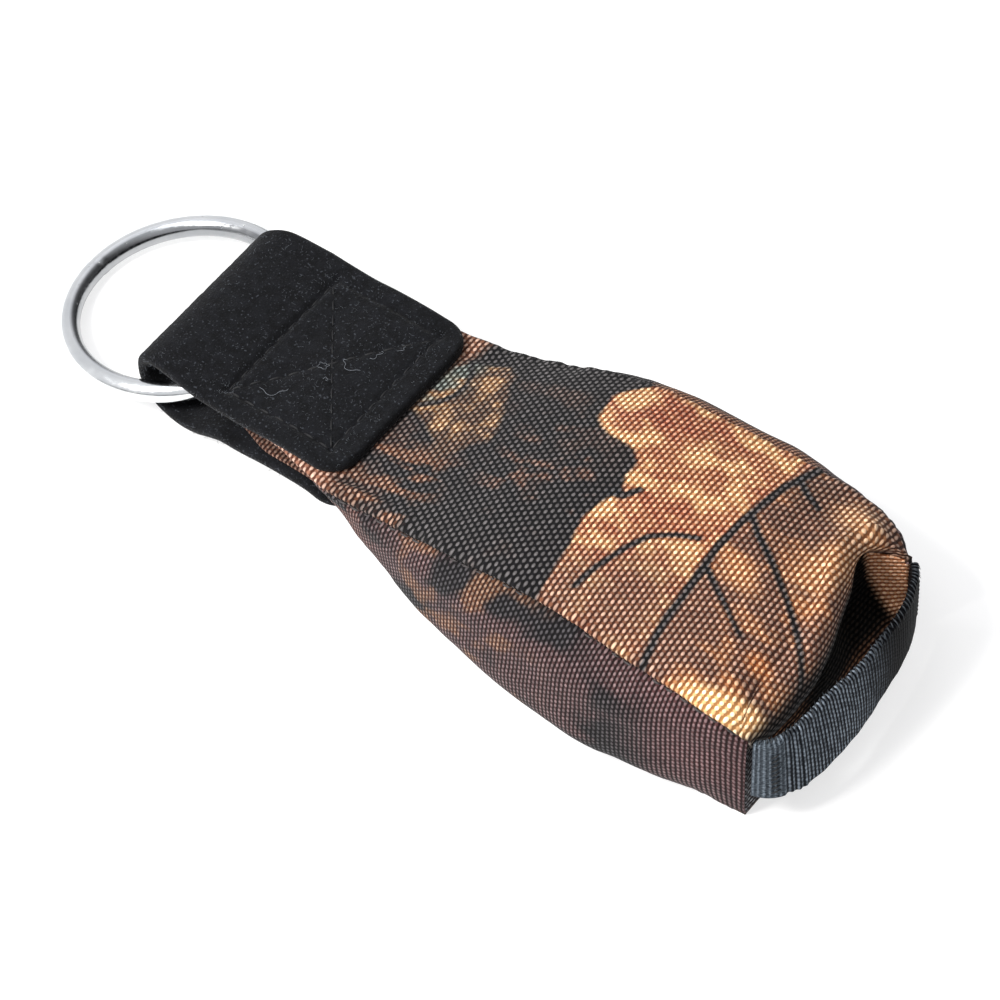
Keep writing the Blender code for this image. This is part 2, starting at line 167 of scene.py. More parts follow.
def inside(x, y, points):
    """Signed distance to a closed outline: positive inside."""
    best, _ = near_line(x, y, points + points[:1])
    odd = np.zeros(np.shape(x), bool)
    for k in range(len(points)):
        (ax, ay), (bx, by) = points[k], points[(k + 1) % len(points)]
        if ay != by:
            odd ^= ((ay > y) != (by > y)) & (x < (bx - ax) * (y - ay) / (by - ay) + ax)
    return np.where(odd, best, -best)


def blendto(under, over, mask):
    return under * (1 - mask[..., None]) + np.array(over) * mask[..., None]


def flat(x, tone):
    """The same tone at every place."""
    return np.zeros(x.shape + (3,)) + np.array(tone)


def mottle(x, y, size_x, size_y, seed, low, high):
    """Cloudy mask from 0 to 1, rising where the noise passes from low to high."""
    return smooth(low, high, cloud(x / size_x, y / size_y, seed))


# ---------------------------------------------------------------- meshes

def world(points):
    p = np.array(points, float)
    p[..., 0] -= X_MIDDLE
    return p / 1000.0


def finish_mesh(name, verts, faces, mat, uv=None, colour=None):
    """Smooth object with its faces turned outward, its cloth map and its colour attribute of print and
    painted light.
    """
    mesh = bpy.data.meshes.new(name)
    mesh.from_pydata(world(verts).tolist(), [], faces)
    bm = bmesh.new()
    bm.from_mesh(mesh)
    bmesh.ops.recalc_face_normals(bm, faces=bm.faces)
    bm.to_mesh(mesh)
    bm.free()
    if uv is not None:
        layer = mesh.uv_layers.new(name="cloth")
        index = np.zeros(len(mesh.loops), int)
        mesh.loops.foreach_get("vertex_index", index)
        layer.data.foreach_set("uv", np.array(uv, float).reshape(-1, 2)[index].ravel())
    if colour is not None:
        attribute = mesh.color_attributes.new("print_and_painted_light", "FLOAT_COLOR", "POINT")
        rgba = np.ones((len(verts), 4))
        rgba[:, :3] = np.array(colour).reshape(-1, 3)
        attribute.data.foreach_set("color", rgba.ravel())
    mesh.polygons.foreach_set("use_smooth", [True] * len(mesh.polygons))
    mesh.materials.append(mat)
    obj = bpy.data.objects.new(name, mesh)
    bpy.context.scene.collection.objects.link(obj)
    return obj


def grid_faces(n, m, offset=0, flip=False):
    i, j = np.meshgrid(np.arange(n - 1), np.arange(m - 1), indexing="ij")
    a = (i * m + j).ravel() + offset
    quad = np.stack([a, a + m, a + m + 1, a + 1], -1)
    return (quad[:, ::-1] if flip else quad).tolist()


def normals(grid):
    along = np.gradient(grid, axis=0)
    across = np.gradient(grid, axis=1)
    n = np.cross(along, across)
    return n / np.maximum(np.linalg.norm(n, axis=-1, keepdims=True), 1e-9)


def sign(values):
    """1 when the values point the positive way on the whole, otherwise -1."""
    return 1.0 if values.mean() > 0 else -1.0


def cloth_sheet(name, grid, uv, colour, mat, thickness=0.5, outward=1):
    """Closed thin shell under a grid of surface points; outward says which way its normals point."""
    n, m = grid.shape[:2]
    under = grid - normals(grid) * thickness * outward
    verts = np.concatenate([grid.reshape(-1, 3), under.reshape(-1, 3)])
    faces = grid_faces(n, m) + grid_faces(n, m, n * m, True)
    top = np.arange(n * m).reshape(n, m)
    low = top + n * m
    edges = ((top[:, 0], low[:, 0]), (top[::-1, -1], low[::-1, -1]),
             (top[-1, :], low[-1, :]), (top[0, ::-1], low[0, ::-1]))
    for a, b in edges:
        faces += np.stack([a[:-1], b[:-1], b[1:], a[1:]], -1).tolist()
    both = np.concatenate([uv.reshape(-1, 2)] * 2)
    paint = np.concatenate([colour.reshape(-1, 3), colour.reshape(-1, 3) * 0.4])
    return finish_mesh(name, verts, faces, mat, both, paint)


def tube_mesh(paths, radius, sides=6, taper=False):
    """Vertices and faces of capped tubes along several lines of points."""
    verts, faces = [], []
    for path in paths:
        path = np.array(path, float)
        tangent = directions(path)
        guide = np.where(np.abs(tangent[:, 2:3]) < 0.9, [[0, 0, 1.0]], [[0, 1.0, 0]])
        first = np.cross(tangent, guide)
        first /= np.linalg.norm(first, axis=1, keepdims=True)
        second = np.cross(tangent, first)
        start = len(verts)
        count = len(path)
        for k in range(count):
            r = radius
            if taper:
                r = radius * (1 - (abs(2 * k / (count - 1) - 1)) ** 3 * 0.75)
            for s in range(sides):
                a = 2 * math.pi * s / sides
                verts.append(path[k] + (first[k] * math.cos(a) + second[k] * math.sin(a)) * r)
        for k in range(count - 1):
            here, after = start + k * sides, start + (k + 1) * sides
            for s in range(sides):
                t = (s + 1) % sides
                faces.append([here + s, after + s, after + t, here + t])
        faces.append([start + s for s in range(sides)][::-1])
        faces.append([start + (count - 1) * sides + s for s in range(sides)])
    return np.array(verts), faces


def threads(name, paths, radius, sides, mat, taper=False):
    """One object of thin tubes."""
    verts, faces = tube_mesh(paths, radius, sides, taper)
    return finish_mesh(name, verts, faces, mat)


def loop_faces(rows, count):
    """Faces between neighbouring closed loops of points."""
    faces = []
    for i in range(rows - 1):
        base, after = i * count, (i + 1) * count
        for j in range(count):
            k = (j + 1) % count
            faces.append([base + j, base + k, after + k, after + j])
    return faces


# ---------------------------------------------------------------- materials

SHADER_INPUTS = {"colour": "Base Color", "roughness": "Roughness", "metallic": "Metallic", "normal": "Normal",
                 "sheen": "Sheen Weight", "sheen_roughness": "Sheen Roughness",
                 "specular": "Specular IOR Level", "glow": "Emission Color",
                 "glow_strength": "Emission Strength"}


def four(value):
    """A colour of three numbers with its alpha; anything else as it is."""
    return (*value, 1.0) if isinstance(value, tuple) and len(value) == 3 else value


class Nodes:
    """Short way to write the node tree of a material or of the surroundings."""

    def __init__(self, owner):
        owner.use_nodes = True
        self.owner = owner
        self.tree = owner.node_tree

    def put(self, socket, value):
        if isinstance(value, bpy.types.NodeSocket):
            self.tree.links.new(value, socket)
        else:
            socket.default_value = value

    def math(self, operation, a, b=0.0, c=None, clamp=False):
        node = self.tree.nodes.new("ShaderNodeMath")
        node.operation = operation
        node.use_clamp = clamp
        self.put(node.inputs[0], a)
        self.put(node.inputs[1], b)
        if c is not None:
            self.put(node.inputs[2], c)
        return node.outputs[0]

    def add(self, a, b):
        return self.math("ADD", a, b)

    def mul(self, a, b):
        return self.math("MULTIPLY", a, b)

    def mix(self, factor, a, b, kind="MIX"):
        node = self.tree.nodes.new("ShaderNodeMix")
        node.data_type = "RGBA"
        node.blend_type = kind
        self.put(node.inputs["Factor"], factor)
        self.put(node.inputs[6], four(a))
        self.put(node.inputs[7], four(b))
        return node.outputs[2]

    def ramp(self, value, low, high, to_low=0.0, to_high=1.0):
        node = self.tree.nodes.new("ShaderNodeMapRange")
        node.interpolation_type = "SMOOTHSTEP"
        self.put(node.inputs[0], value)
        for k, v in enumerate((low, high, to_low, to_high)):
            node.inputs[k + 1].default_value = v
        return node.outputs[0]

    def noise(self, scale, detail=2.0, vector=None, rough=0.5):
        node = self.tree.nodes.new("ShaderNodeTexNoise")
        node.inputs["Scale"].default_value = scale
        node.inputs["Detail"].default_value = detail
        node.inputs["Roughness"].default_value = rough
        self.put(node.inputs["Vector"], vector if vector is not None else self.place())
        return node.outputs["Fac"]

    def place(self):
        return self.tree.nodes.new("ShaderNodeTexCoord").outputs["Object"]

    def scaled(self, vector, scale):
        node = self.tree.nodes.new("ShaderNodeMapping")
        self.put(node.inputs["Vector"], vector)
        node.inputs["Scale"].default_value = scale
        return node.outputs[0]

    def uv(self):
        node = self.tree.nodes.new("ShaderNodeUVMap")
        node.uv_map = "cloth"
        split = self.tree.nodes.new("ShaderNodeSeparateXYZ")
        self.tree.links.new(node.outputs[0], split.inputs[0])
        return split.outputs[0], split.outputs[1], node.outputs[0]

    def grey(self, value):
        node = self.tree.nodes.new("ShaderNodeCombineColor")
        for k in range(3):
            self.put(node.inputs[k], value)
        return node.outputs[0]

    def point(self, x, y):
        node = self.tree.nodes.new("ShaderNodeCombineXYZ")
        self.put(node.inputs[0], x)
        self.put(node.inputs[1], y)
        return node.outputs[0]

    def gamma(self, colour, power):
        node = self.tree.nodes.new("ShaderNodeGamma")
        self.put(node.inputs[0], colour)
        node.inputs[1].default_value = power
        return node.outputs[0]

    def attribute(self, name):
        node = self.tree.nodes.new("ShaderNodeAttribute")
        node.attribute_name = name
        return node.outputs["Color"]

    def bump(self, height, distance, strength):
        node = self.tree.nodes.new("ShaderNodeBump")
        node.inputs["Distance"].default_value = distance
        node.inputs["Strength"].default_value = strength
        self.put(node.inputs["Height"], height)
        return node.outputs[0]

    def set(self, **values):
        shader = self.tree.nodes["Principled BSDF"]
        for key, value in values.items():
            self.put(shader.inputs[SHADER_INPUTS[key]], four(value))
        return self.owner


def material(name):
    return Nodes(bpy.data.materials.new(name))


def weave(n, pitch_u, pitch_v, wander=0.07):
    """Plain weave: how far each place is up on a cross yarn, and up on a lengthwise yarn."""
    u, v, vector = n.uv()
    u = n.add(u, n.mul(n.add(n.noise(0.35, 2.0, vector), -0.5), wander * 4))
    v = n.add(v, n.mul(n.add(n.noise(0.5, 2.0, vector), -0.5), wander * 3))
    us = n.mul(u, 1.0 / pitch_u)
    column = n.math("FLOOR", us)
    fu = n.add(n.math("FRACT", us), -0.5)
    turn = n.add(n.mul(v, 0.5 / pitch_v), n.mul(n.math("FLOORED_MODULO", column, 2.0), 0.5))
    fv = n.add(n.math("FRACT", turn), -0.5)
    fc = n.add(n.math("FRACT", n.add(turn, 0.5)), -0.5)

    def oval(a, b, ka, kb):
        a, b = n.mul(a, ka), n.mul(b, kb)
        return n.math("SUBTRACT", 1.0, n.add(n.mul(a, a), n.mul(b, b)), clamp=True)

    cell = n.tree.nodes.new("ShaderNodeTexWhiteNoise")
    n.put(cell.inputs["Vector"], n.point(column, n.math("FLOOR", turn)))
    return oval(fu, fv, 2.5, 2.35), oval(fu, fc, 2.2, 3.4), vector, cell.outputs["Value"]


def oxford(name, gloss=0.5, lift=0.055, gain=1.42, pitch=1.0, specular=0.25):
    """Printed 600D Oxford cloth: raised cross yarns lifted towards white and brightened as a painted
    highlight, over gaps darkened as painted shade.
    """
    n = material(name)
    across, along, vector, chance = weave(n, pitch, 0.667 * pitch)
    print_and_painted_shade = n.attribute("print_and_painted_light")
    broad = n.ramp(n.noise(0.9, 1.0, vector), 0.3, 0.7, 0.85, 1.18)
    jitter = n.mul(broad, n.math("MULTIPLY_ADD", chance, 0.5, 0.8))
    # Painted highlight: the tops of the cross yarns are lifted towards white and brightened by the gain.
    bright = n.mix(lift, print_and_painted_shade, (0.95, 0.87, 0.80))
    bright = n.mix(1.0, bright, n.grey(n.mul(jitter, gain)), "MULTIPLY")
    # Painted shade: the gaps are a much darker copy of the print, and the lengthwise yarns a little darker
    # one.
    dark = n.mix(1.0, n.gamma(print_and_painted_shade, 1.9), (0.42, 0.36, 0.34), "MULTIPLY")
    side = n.mix(1.0, n.gamma(print_and_painted_shade, 1.35), (0.96, 0.86, 0.82), "MULTIPLY")
    colour = n.mix(n.ramp(along, 0.1, 0.9), dark, side)
    colour = n.mix(n.ramp(across, 0.08, 0.85), colour, bright)
    height = n.add(across, n.mul(along, 0.5))
    fibres = n.noise(14.0, 2.0, n.scaled(vector, (1.0, 0.25, 1.0)))
    height = n.add(height, n.mul(fibres, 0.15))
    normal = n.bump(height, 0.00025, 0.9)
    rough = n.ramp(across, 0.0, 1.0, 0.9, gloss)
    return n.set(colour=colour, roughness=rough, normal=normal, specular=specular,
                 sheen=0.08 * specular, sheen_roughness=0.5)


def brushed_black(name):
    """Thick black brushed textile with lint."""
    n = material(name)
    place = n.place()
    coarse = n.noise(420.0, 4.0, place, 0.6)
    fine = n.noise(2600.0, 3.0, place, 0.65)
    specks = n.ramp(n.noise(2300.0, 1.0, place, 0.4), 0.64, 0.74)
    base = n.mix(n.ramp(coarse, 0.35, 0.7), (0.0012, 0.0014, 0.0021), (0.0045, 0.0050, 0.0068))
    base = n.mix(n.ramp(fine, 0.5, 0.72, 0.0, 0.6), base, (0.011, 0.0122, 0.0155))
    colour = n.mix(n.mul(specks, 0.55), base, (0.058, 0.064, 0.076))
    height = n.add(n.mul(coarse, 0.7), fine)
    return n.set(colour=colour, roughness=0.95, normal=n.bump(height, 0.0003, 0.8), specular=0.2,
                 sheen=0.05, sheen_roughness=0.4)


def plain_thread(name, colour, roughness=0.6):
    n = material(name)
    place = n.place()
    twist = n.noise(3200.0, 2.0, place, 0.5)
    tone = n.mix(twist, tuple(c * 0.5 for c in colour), tuple(min(1.0, c * 1.7) for c in colour))
    return n.set(colour=tone, roughness=roughness, normal=n.bump(twist, 0.0001, 0.6), specular=0.4)


def ribbed_webbing(name):
    """Black nylon webbing: fine lengthwise yarns crossed by ribs, paler where it is folded double with
    painted sheen on the rib tops there, a painted glint near that end and painted shade over its far half.
    """
    n = material(name)
    u, _, vector = n.uv()
    across, along, _, chance = weave(n, 0.8, 0.53, 0.05)
    grain = n.noise(1.9, 3.0, n.scaled(vector, (1.0, 1.6, 1.0)), 0.7)
    height = n.add(n.mul(across, 1.3), n.mul(along, 0.7))
    shine = n.noise(2.0, 3.0, n.scaled(vector, (0.3, 2.0, 1.0)))
    uneven = n.mul(n.math("MULTIPLY_ADD", chance, 1.0, 0.5), n.ramp(grain, 0.3, 0.7, 0.55, 1.3))
    tone = n.mul(n.ramp(height, 0.15, 1.25), uneven)
    colour = n.mix(tone, (0.006, 0.007, 0.009), (0.27, 0.315, 0.37))
    # Where folded double the webbing is paler, with painted sheen in streaks on its rib tops.
    folded = n.ramp(u, 6.2, 4.6)
    rib_sheen = n.mul(n.ramp(grain, 0.35, 0.65), n.ramp(height, 0.1, 1.0, 0.5, 1.0))
    pale = n.mix(rib_sheen, (0.020, 0.025, 0.032), (0.17, 0.205, 0.24))
    colour = n.mix(n.mul(folded, n.ramp(shine, 0.3, 0.65, 0.45, 1.0)), colour, pale)
    # Painted glint: pale streaks of painted highlight on the part of the webbing towards its folded end.
    glint = n.mul(n.ramp(u, 22.0, 9.0), n.ramp(shine, 0.45, 0.75, 0.0, 0.3))
    colour = n.mix(glint, colour, (0.075, 0.09, 0.108))
    # Painted shade: the far half of the webbing, which turns away from the light, is darkened almost to
    # black.
    colour = n.mix(n.ramp(u, 20.0, 37.0, 0.0, 0.98), colour, (0.0015, 0.0015, 0.002))
    return n.set(colour=colour, roughness=0.6, normal=n.bump(height, 0.00022, 0.9), specular=0.03)


def steel(name):
    n = material(name)
    place = n.place()
    streak = n.noise(900.0, 3.0, n.scaled(place, (1.0, 1.0, 0.25)), 0.6)
    cloudy = n.noise(130.0, 3.0, place)
    pits = n.ramp(n.noise(1100.0, 1.0, place), 0.76, 0.82)
    colour = n.mix(n.ramp(cloudy, 0.3, 0.7), (0.80, 0.815, 0.83), (0.92, 0.925, 0.93))
    # Multiplied by the painted reflection bands carried in the ring's colour attribute.
    colour = n.mix(1.0, colour, n.attribute("print_and_painted_light"), "MULTIPLY")
    colour = n.mix(n.mul(pits, 0.7), colour, (0.16, 0.15, 0.14))
    height = n.add(n.mul(streak, 0.5), n.mul(pits, -1.5))
    return n.set(colour=colour, metallic=1.0, roughness=n.ramp(streak, 0.3, 0.7, 0.14, 0.26),
                 normal=n.bump(height, 0.00006, 0.6))


def cotton(name):
    n = material(name)
    place = n.place()
    threads = n.noise(1500.0, 2.0, n.scaled(place, (1.0, 0.2, 1.0)))
    colour = n.mix(threads, (0.55, 0.52, 0.45), (0.8, 0.77, 0.7))
    return n.set(colour=colour, roughness=0.9, normal=n.bump(threads, 0.0002, 0.7), sheen=0.1)


def granules(name):
    n = material(name)
    cells = n.tree.nodes.new("ShaderNodeTexVoronoi")
    cells.inputs["Scale"].default_value = 330.0
    n.put(cells.inputs["Vector"], n.place())
    colour = n.mix(n.ramp(cells.outputs["Distance"], 0.2, 0.7), (0.85, 0.85, 0.82), (0.35, 0.35, 0.33))
    height = n.mul(cells.outputs["Distance"], -1.0)
    return n.set(colour=colour, roughness=0.4, normal=n.bump(height, 0.0012, 1.0))


# ---------------------------------------------------------------- camouflage print

CHARCOAL = (0.014, 0.013, 0.018)
TAN = (0.47, 0.24, 0.13)
CREAM = (0.72, 0.48, 0.27)
RUST = (0.36, 0.115, 0.06)
BROWN = (0.245, 0.135, 0.092)
UMBER = (0.09, 0.05, 0.038)
TEAL = (0.12, 0.16, 0.15)


def patch(x, y, cx, cy, rx, ry, turn=0.0):
    """Soft round patch of strength 1 in the middle, falling to 0 outside its two radii."""
    c, s = math.cos(math.radians(turn)), math.sin(math.radians(turn))
    u, v = (x - cx) * c + (y - cy) * s, (y - cy) * c - (x - cx) * s
    return np.exp(-((u / rx) ** 2 + (v / ry) ** 2) ** 1.5)


def patches(colour, x, y, table):
    """Lay soft patches on: each row has a tone, its strength, its shape and what mottles it, if anything."""
    for tone, strength, shape, broken in table:
        mask = strength * patch(x, y, *shape)
        if broken:
            mask = mask * mottle(x, y, *broken)
        colour = blendto(colour, tone, mask)
    return colour


def print_ground(x, y):
    """Charcoal ground of the front panel with brown shade, and the pink-brown neck."""
    colour = flat(x, CHARCOAL)
    haze = mottle(x, y, 9, 7, 11, 0.52, 0.72) * smooth(95, 80, x)
    colour = blendto(colour, UMBER, 0.55 * haze)
    fleck = mottle(x, y, 4.5, 2.2, 19, 0.54, 0.7) * smooth(66, 76, x) * smooth(93, 85, x)
    fleck = fleck * smooth(-17, -7, y) * smooth(11, 3, y)
    colour = blendto(colour, (0.20, 0.105, 0.07), 0.65 * fleck)
    roots = mottle(x, y, 6, 1.8, 23, 0.40, 0.60) * smooth(68, 58, x) * smooth(-4, -9, y)
    colour = blendto(colour, (0.25, 0.125, 0.07), 0.75 * roots)
    cheek = mottle(x, y, 5, 2.2, 29, 0.36, 0.6) * smooth(58, 50, x + 0.4 * y + 8) * smooth(-11, -15, y)
    colour = blendto(colour, (0.13, 0.075, 0.055), 0.5 * cheek)
    flank = smooth(50.5, 47, x + 0.25 * (19 - y)) * smooth(7, 13, y)
    colour = blendto(colour, (0.40, 0.23, 0.155), 0.75 * flank)
    return blendto(colour, (0.50, 0.30, 0.22), 0.8 * smooth(47, 42, x))


SMALL_LEAF = [(46.8, 15.2), (52.8, 16), (55.9, 17.4), (59, 15.4), (61, 10.7), (63, 6.8), (65.4, 1.8),
              (65.9, -1.2), (61.8, -4.2), (59.3, -8.3), (55.8, -4.2), (51.7, -1), (46.7, 1.1)]
SMALL_STEM = [(47.7, 2.6), (50.2, 4.1), (52, 6.6), (52.3, 10), (51.4, 12.9), (48.9, 15.8)]


def print_small_leaf(colour, x, y, wx, wy):
    """Small leaf beside the neck with its dark stem; wx and wy are the wavering places for its outline."""
    inner = flat(x, (0.12, 0.07, 0.045))
    inner = blendto(inner, (0.38, 0.245, 0.135), mottle(x, y, 3.0, 2.6, 37, 0.42, 0.66))
    green = 0.8 * mottle(x, y, 3, 3, 41, 0.40, 0.60) * smooth(55, 50, x) * smooth(2, 5, y)
    inner = blendto(inner, TEAL, green)
    colour = blendto(colour, inner, smooth(-0.8, 1.0, inside(wx, wy, SMALL_LEAF)))
    d, t = near_line(x, y, SMALL_STEM)
    return blendto(colour, CHARCOAL, 0.92 * smooth(1.0 - 0.3 * t, 0.45 - 0.2 * t, d))


LEAF_EDGE = [(86, 45), (85, 27), (82.5, 24), (80.2, 21.7), (78.6, 18), (79.4, 15.3), (80.1, 11.9),
             (84.2, 9.3), (89.8, 8.8), (91.9, 6.6), (93, 2.1), (94.2, -0.6), (93.1, -2.2), (91.7, -8.4),
             (93.2, -13.3), (93.8, -19.4), (94.4, -24), (94.5, -45), (175, -45), (175, 45)]
RIGHT_PATCHES = [((0.13, 0.078, 0.058), 0.8, (120.5, 21.5, 5.5, 4.8, 15), None),
                 ((0.14, 0.075, 0.052), 0.75, (123, 15, 7, 7), (3, 2.4, 61, 0.40, 0.58)),
                 ((0.16, 0.085, 0.06), 0.55, (124, 5, 6, 5), (2.6, 3, 63, 0.40, 0.6)),
                 ((0.19, 0.10, 0.065), 0.4, (124, 13, 12, 11), None),
                 ((0.62, 0.36, 0.19), 0.75, (121, -2.2, 5, 2.6, -20), None),
                 # Paler patch along the base ridge: partly the leaf's print, partly a painted highlight on
                 # the ridge.
                 ((0.66, 0.41, 0.225), 0.65, (132, 10, 4.2, 8, -15), None),
                 ((0.70, 0.34, 0.14), 0.7, (133.5, -14, 2.6, 2.2), None),
                 ((0.62, 0.42, 0.25), 0.6, (130, 20.5, 4.5, 4.5), None)]
# Each vein of the large leaf: its line, and its half width at the start and at the end.
VEINS = [([(120, 35), (117.4, 25.2), (115.6, 18.5), (114.8, 9.7), (114.5, 0.1), (115.8, -11.4),
           (116.2, -17.6), (117.2, -22.9), (119, -30)], 0.82, 0.66),
         ([(114.9, 9.3), (118.5, 6.4), (122.9, 3.9), (129.5, -0.2), (134.8, -4.5), (140.1, -9.5), (145, -14)],
          0.66, 0.56),
         ([(115.3, -4.4), (120, -7.2), (125.2, -10.3), (128.4, -11.9)], 0.62, 0.36),
         ([(111.0, -0.5), (107.4, -2.1), (103.8, -5.1), (101.8, -9.3), (100.1, -14.7), (99, -20.1)],
          0.52, 0.6),
         ([(116.4, 21.6), (119.4, 19.6), (122.7, 18.4)], 0.75, 0.5),
         ([(92.6, -1.0), (94.8, -0.6), (96.3, 2.1)], 1.0, 0.6)]


def leaf_left(x, y):
    """Dry tan half of the large leaf, on the neck's side of its main vein."""
    grain = cloud(x / 5.0 + y / 14, y / 2.8 - x / 16, 43)
    tone = blendto(flat(x, TAN), CREAM, smooth(0.40, 0.62, grain))
    streaks = smooth(0.44, 0.62, cloud(x / 6.0 - y / 7, y / 2.4 + x / 6, 47))
    tone = blendto(tone, RUST, 0.62 * streaks * (1 - 0.6 * patch(x, y, 103, 12, 10, 5)))
    tone = patches(tone, x, y, [(RUST, 0.55, (90, 17, 12, 3.2, 20), (3, 3, 49, 0.3, 0.55)),
                                (CREAM, 0.7, (109.5, -4.2, 3.2, 2.2), None)])
    low = np.maximum(patch(x, y, 108, -19, 10, 12), patch(x, y, 98, -22, 6, 9))
    return blendto(tone, BROWN, 0.9 * low * mottle(x, y, 7, 4, 59, 0.15, 0.4))


def leaf_right(x, y):
    """Brown half of the large leaf, towards the base, with its sunlit corner and a paler patch along the base
    ridge that is partly a painted highlight.
    """
    tone = blendto(flat(x, BROWN), (0.50, 0.27, 0.14), mottle(x, y, 7, 4, 53, 0.42, 0.68))
    tone = patches(tone, x, y, RIGHT_PATCHES)
    sun = smooth(0.9, -1.9, y + 24.6 - 0.42 * np.clip(x - 124, -5, 12)) * smooth(122.5, 128.5, x)
    return blendto(tone, (0.94, 0.67, 0.38), 0.94 * sun)


def front_print_and_highlights(x, y):
    """Colour of the front panel: a large dry leaf at the base with painted highlights at its sunlit corner
    and on its base ridge, dark shade and a small leaf at the neck.
    """
    wx = x + 1.6 * (cloud(x / 3.2, y / 3.2, 3) - 0.5)
    wy = y + 1.6 * (cloud(x / 3.2, y / 3.2, 7) - 0.5)
    colour = print_small_leaf(print_ground(x, y), x, y, wx, wy)
    left = smooth(117, 114, x)[..., None]
    dry = leaf_left(x, y) * left + leaf_right(x, y) * (1 - left)
    colour = blendto(colour, dry, smooth(-0.35, 0.5, inside(wx, wy, LEAF_EDGE)))
    for line, thick, thin in VEINS:
        d, t = near_line(x + 0.35 * (cloud(x / 2, y / 2, 71) - 0.5), y, line)
        width = thick + (thin - thick) * t
        colour = blendto(colour, (0.012, 0.014, 0.020), 0.96 * smooth(width + 0.32, width - 0.22, d))
    return colour


NEAR_SEED, FAR_SEED = 201, 301


def print_side(x, z, seed):
    """Colour of a side gusset: charcoal and purple-brown shade with a few warm patches."""
    tone = cloud(x / 13, z / 9, seed)
    colour = flat(x, (0.022, 0.020, 0.026))
    colour = blendto(colour, (0.125, 0.074, 0.077), smooth(0.40, 0.64, tone))
    colour = blendto(colour, (0.180, 0.098, 0.102), 0.85 * smooth(112, 128, x) * smooth(-26, -16, z))
    warm = mottle(x, z, 6, 5, seed + 5, 0.54, 0.74) * smooth(104, 88, x) * smooth(56, 68, x)
    colour = blendto(colour, (0.28, 0.155, 0.09), 0.7 * warm)
    if seed == FAR_SEED:
        leaf = smooth(-6.0, -3.0, z) * smooth(82, 86, x) * smooth(118, 114, x)
        colour = blendto(colour, (0.34, 0.17, 0.095), 0.85 * leaf)
    neck = smooth(62, 50, x)
    return blendto(colour, (0.20, 0.105, 0.09), 0.8 * neck * mottle(x, z, 4, 2, seed + 9, 0.35, 0.55))


def print_back(x, y):
    """Colour of the back panel: charcoal shade, one slanting leaf, and pink-brown on one side of the neck."""
    colour = blendto(flat(x, CHARCOAL), (0.12, 0.07, 0.05), mottle(x, y, 11, 9, 81, 0.42, 0.62))
    leaf = inside(x, y, [(62, 22), (80, 14), (98, -2), (104, -20), (88, -24), (70, -12), (60, 4)])
    leaf = leaf + 3 * (cloud(x / 3, y / 3, 83) - 0.5)
    colour = blendto(colour, (0.52, 0.30, 0.13), 0.85 * smooth(-1, 1.2, leaf))
    d, _ = near_line(x, y, [(62, 22), (76, 6), (88, -6), (100, -22)])
    colour = blendto(colour, (0.02, 0.02, 0.024), 0.9 * smooth(0.9, 0.4, d))
    return blendto(colour, (0.50, 0.28, 0.20), 0.9 * smooth(48, 40, x) * smooth(-9, -12, y))


# ---------------------------------------------------------------- bag cloth

def half_width(x, level):
    """Half width of the bag at a level from 0 at its back seams to 1 at its front ones."""
    straight = curve(HALF_BOTTOM, x) * (1 - level) + curve(HALF_TOP, x) * level
    return straight + curve(BULGE, x) * (1 - np.abs(2 * level - 1) ** 4)


def pucker(x, seed, reach):
    """Small gathers along a seam: x along it, reach the distance from it."""
    wave = noise(x / 2.6, x * 0 + seed, seed) - 0.5 + 0.6 * (noise(x / 1.3, x * 0 + seed, seed + 3) - 0.5)
    return wave * np.exp(-(reach / 3.2) ** 2)


END_LINE = [(-1, 139.0), (-0.9, 140.0), (-0.6, 140.9), (-0.3, 140.7), (0.0, 139.5), (0.25, 137.5),
            (0.45, 135.4), (0.60, 133.6), (0.70, 133.2), (0.83, 135.4), (0.94, 138.0), (1.0, 139.0)]
ROLL_START = 128.4


def stations(start, step):
    """Places along the bag from a start to the end of its panels."""
    return np.r_[np.arange(start, PANEL_END, step), PANEL_END]


def crown(x, v):
    """Height of the front panel: full in the middle, rounding down to its side seams."""
    return curve(SEAM_TOP, x) + curve(DOME, x) * (1 - np.abs(v) ** 2.8)


def roll_down(v, t):
    """End of the front panel: flat, then round the base edge and down, for each v across and t along."""
    end = curve(END_LINE, v)
    edge = np.abs(v) ** 7
    radius = np.minimum(5.6, end - ROLL_START - 0.2) * (1 - edge) + 1.2 * edge
    radius = radius * (1 - 0.45 * smooth(0.45, 0.7, v))
    start = end - radius
    z0 = crown(start, v)
    theta = math.radians(104)
    drop = np.maximum(z0 - radius * (1 - math.cos(theta)) - 18.6 - 1.4 * edge, 0.6) / math.sin(theta)
    first, arc = start - ROLL_START, radius * theta
    s = t * (first + arc + drop)
    x = ROLL_START + np.minimum(s, first)
    z = crown(x, v)
    turn = np.clip((s - first) / radius, 0, theta)
    past = np.maximum(s - first - arc, 0)
    x = x + radius * np.sin(turn) + past * math.cos(theta)
    z = np.where(s > first, z0, z) - radius * (1 - np.cos(turn)) - past * math.sin(theta)
    return x, z, ROLL_START + s


NECK_FOLDS = (((44, -17.5), (62, -19.6), 0.75, 1.3), ((45, -15), (60, -15.6), 0.45, 1.6),
              ((46, 17), (60, 17.5), 0.5, 1.5), ((47, -19), (70, -21.4), -0.5, 1.0))
BASE_RIDGE = [(137.5, -4), (134.5, 4), (130.8, 11), (129.8, 16), (131.5, 20)]


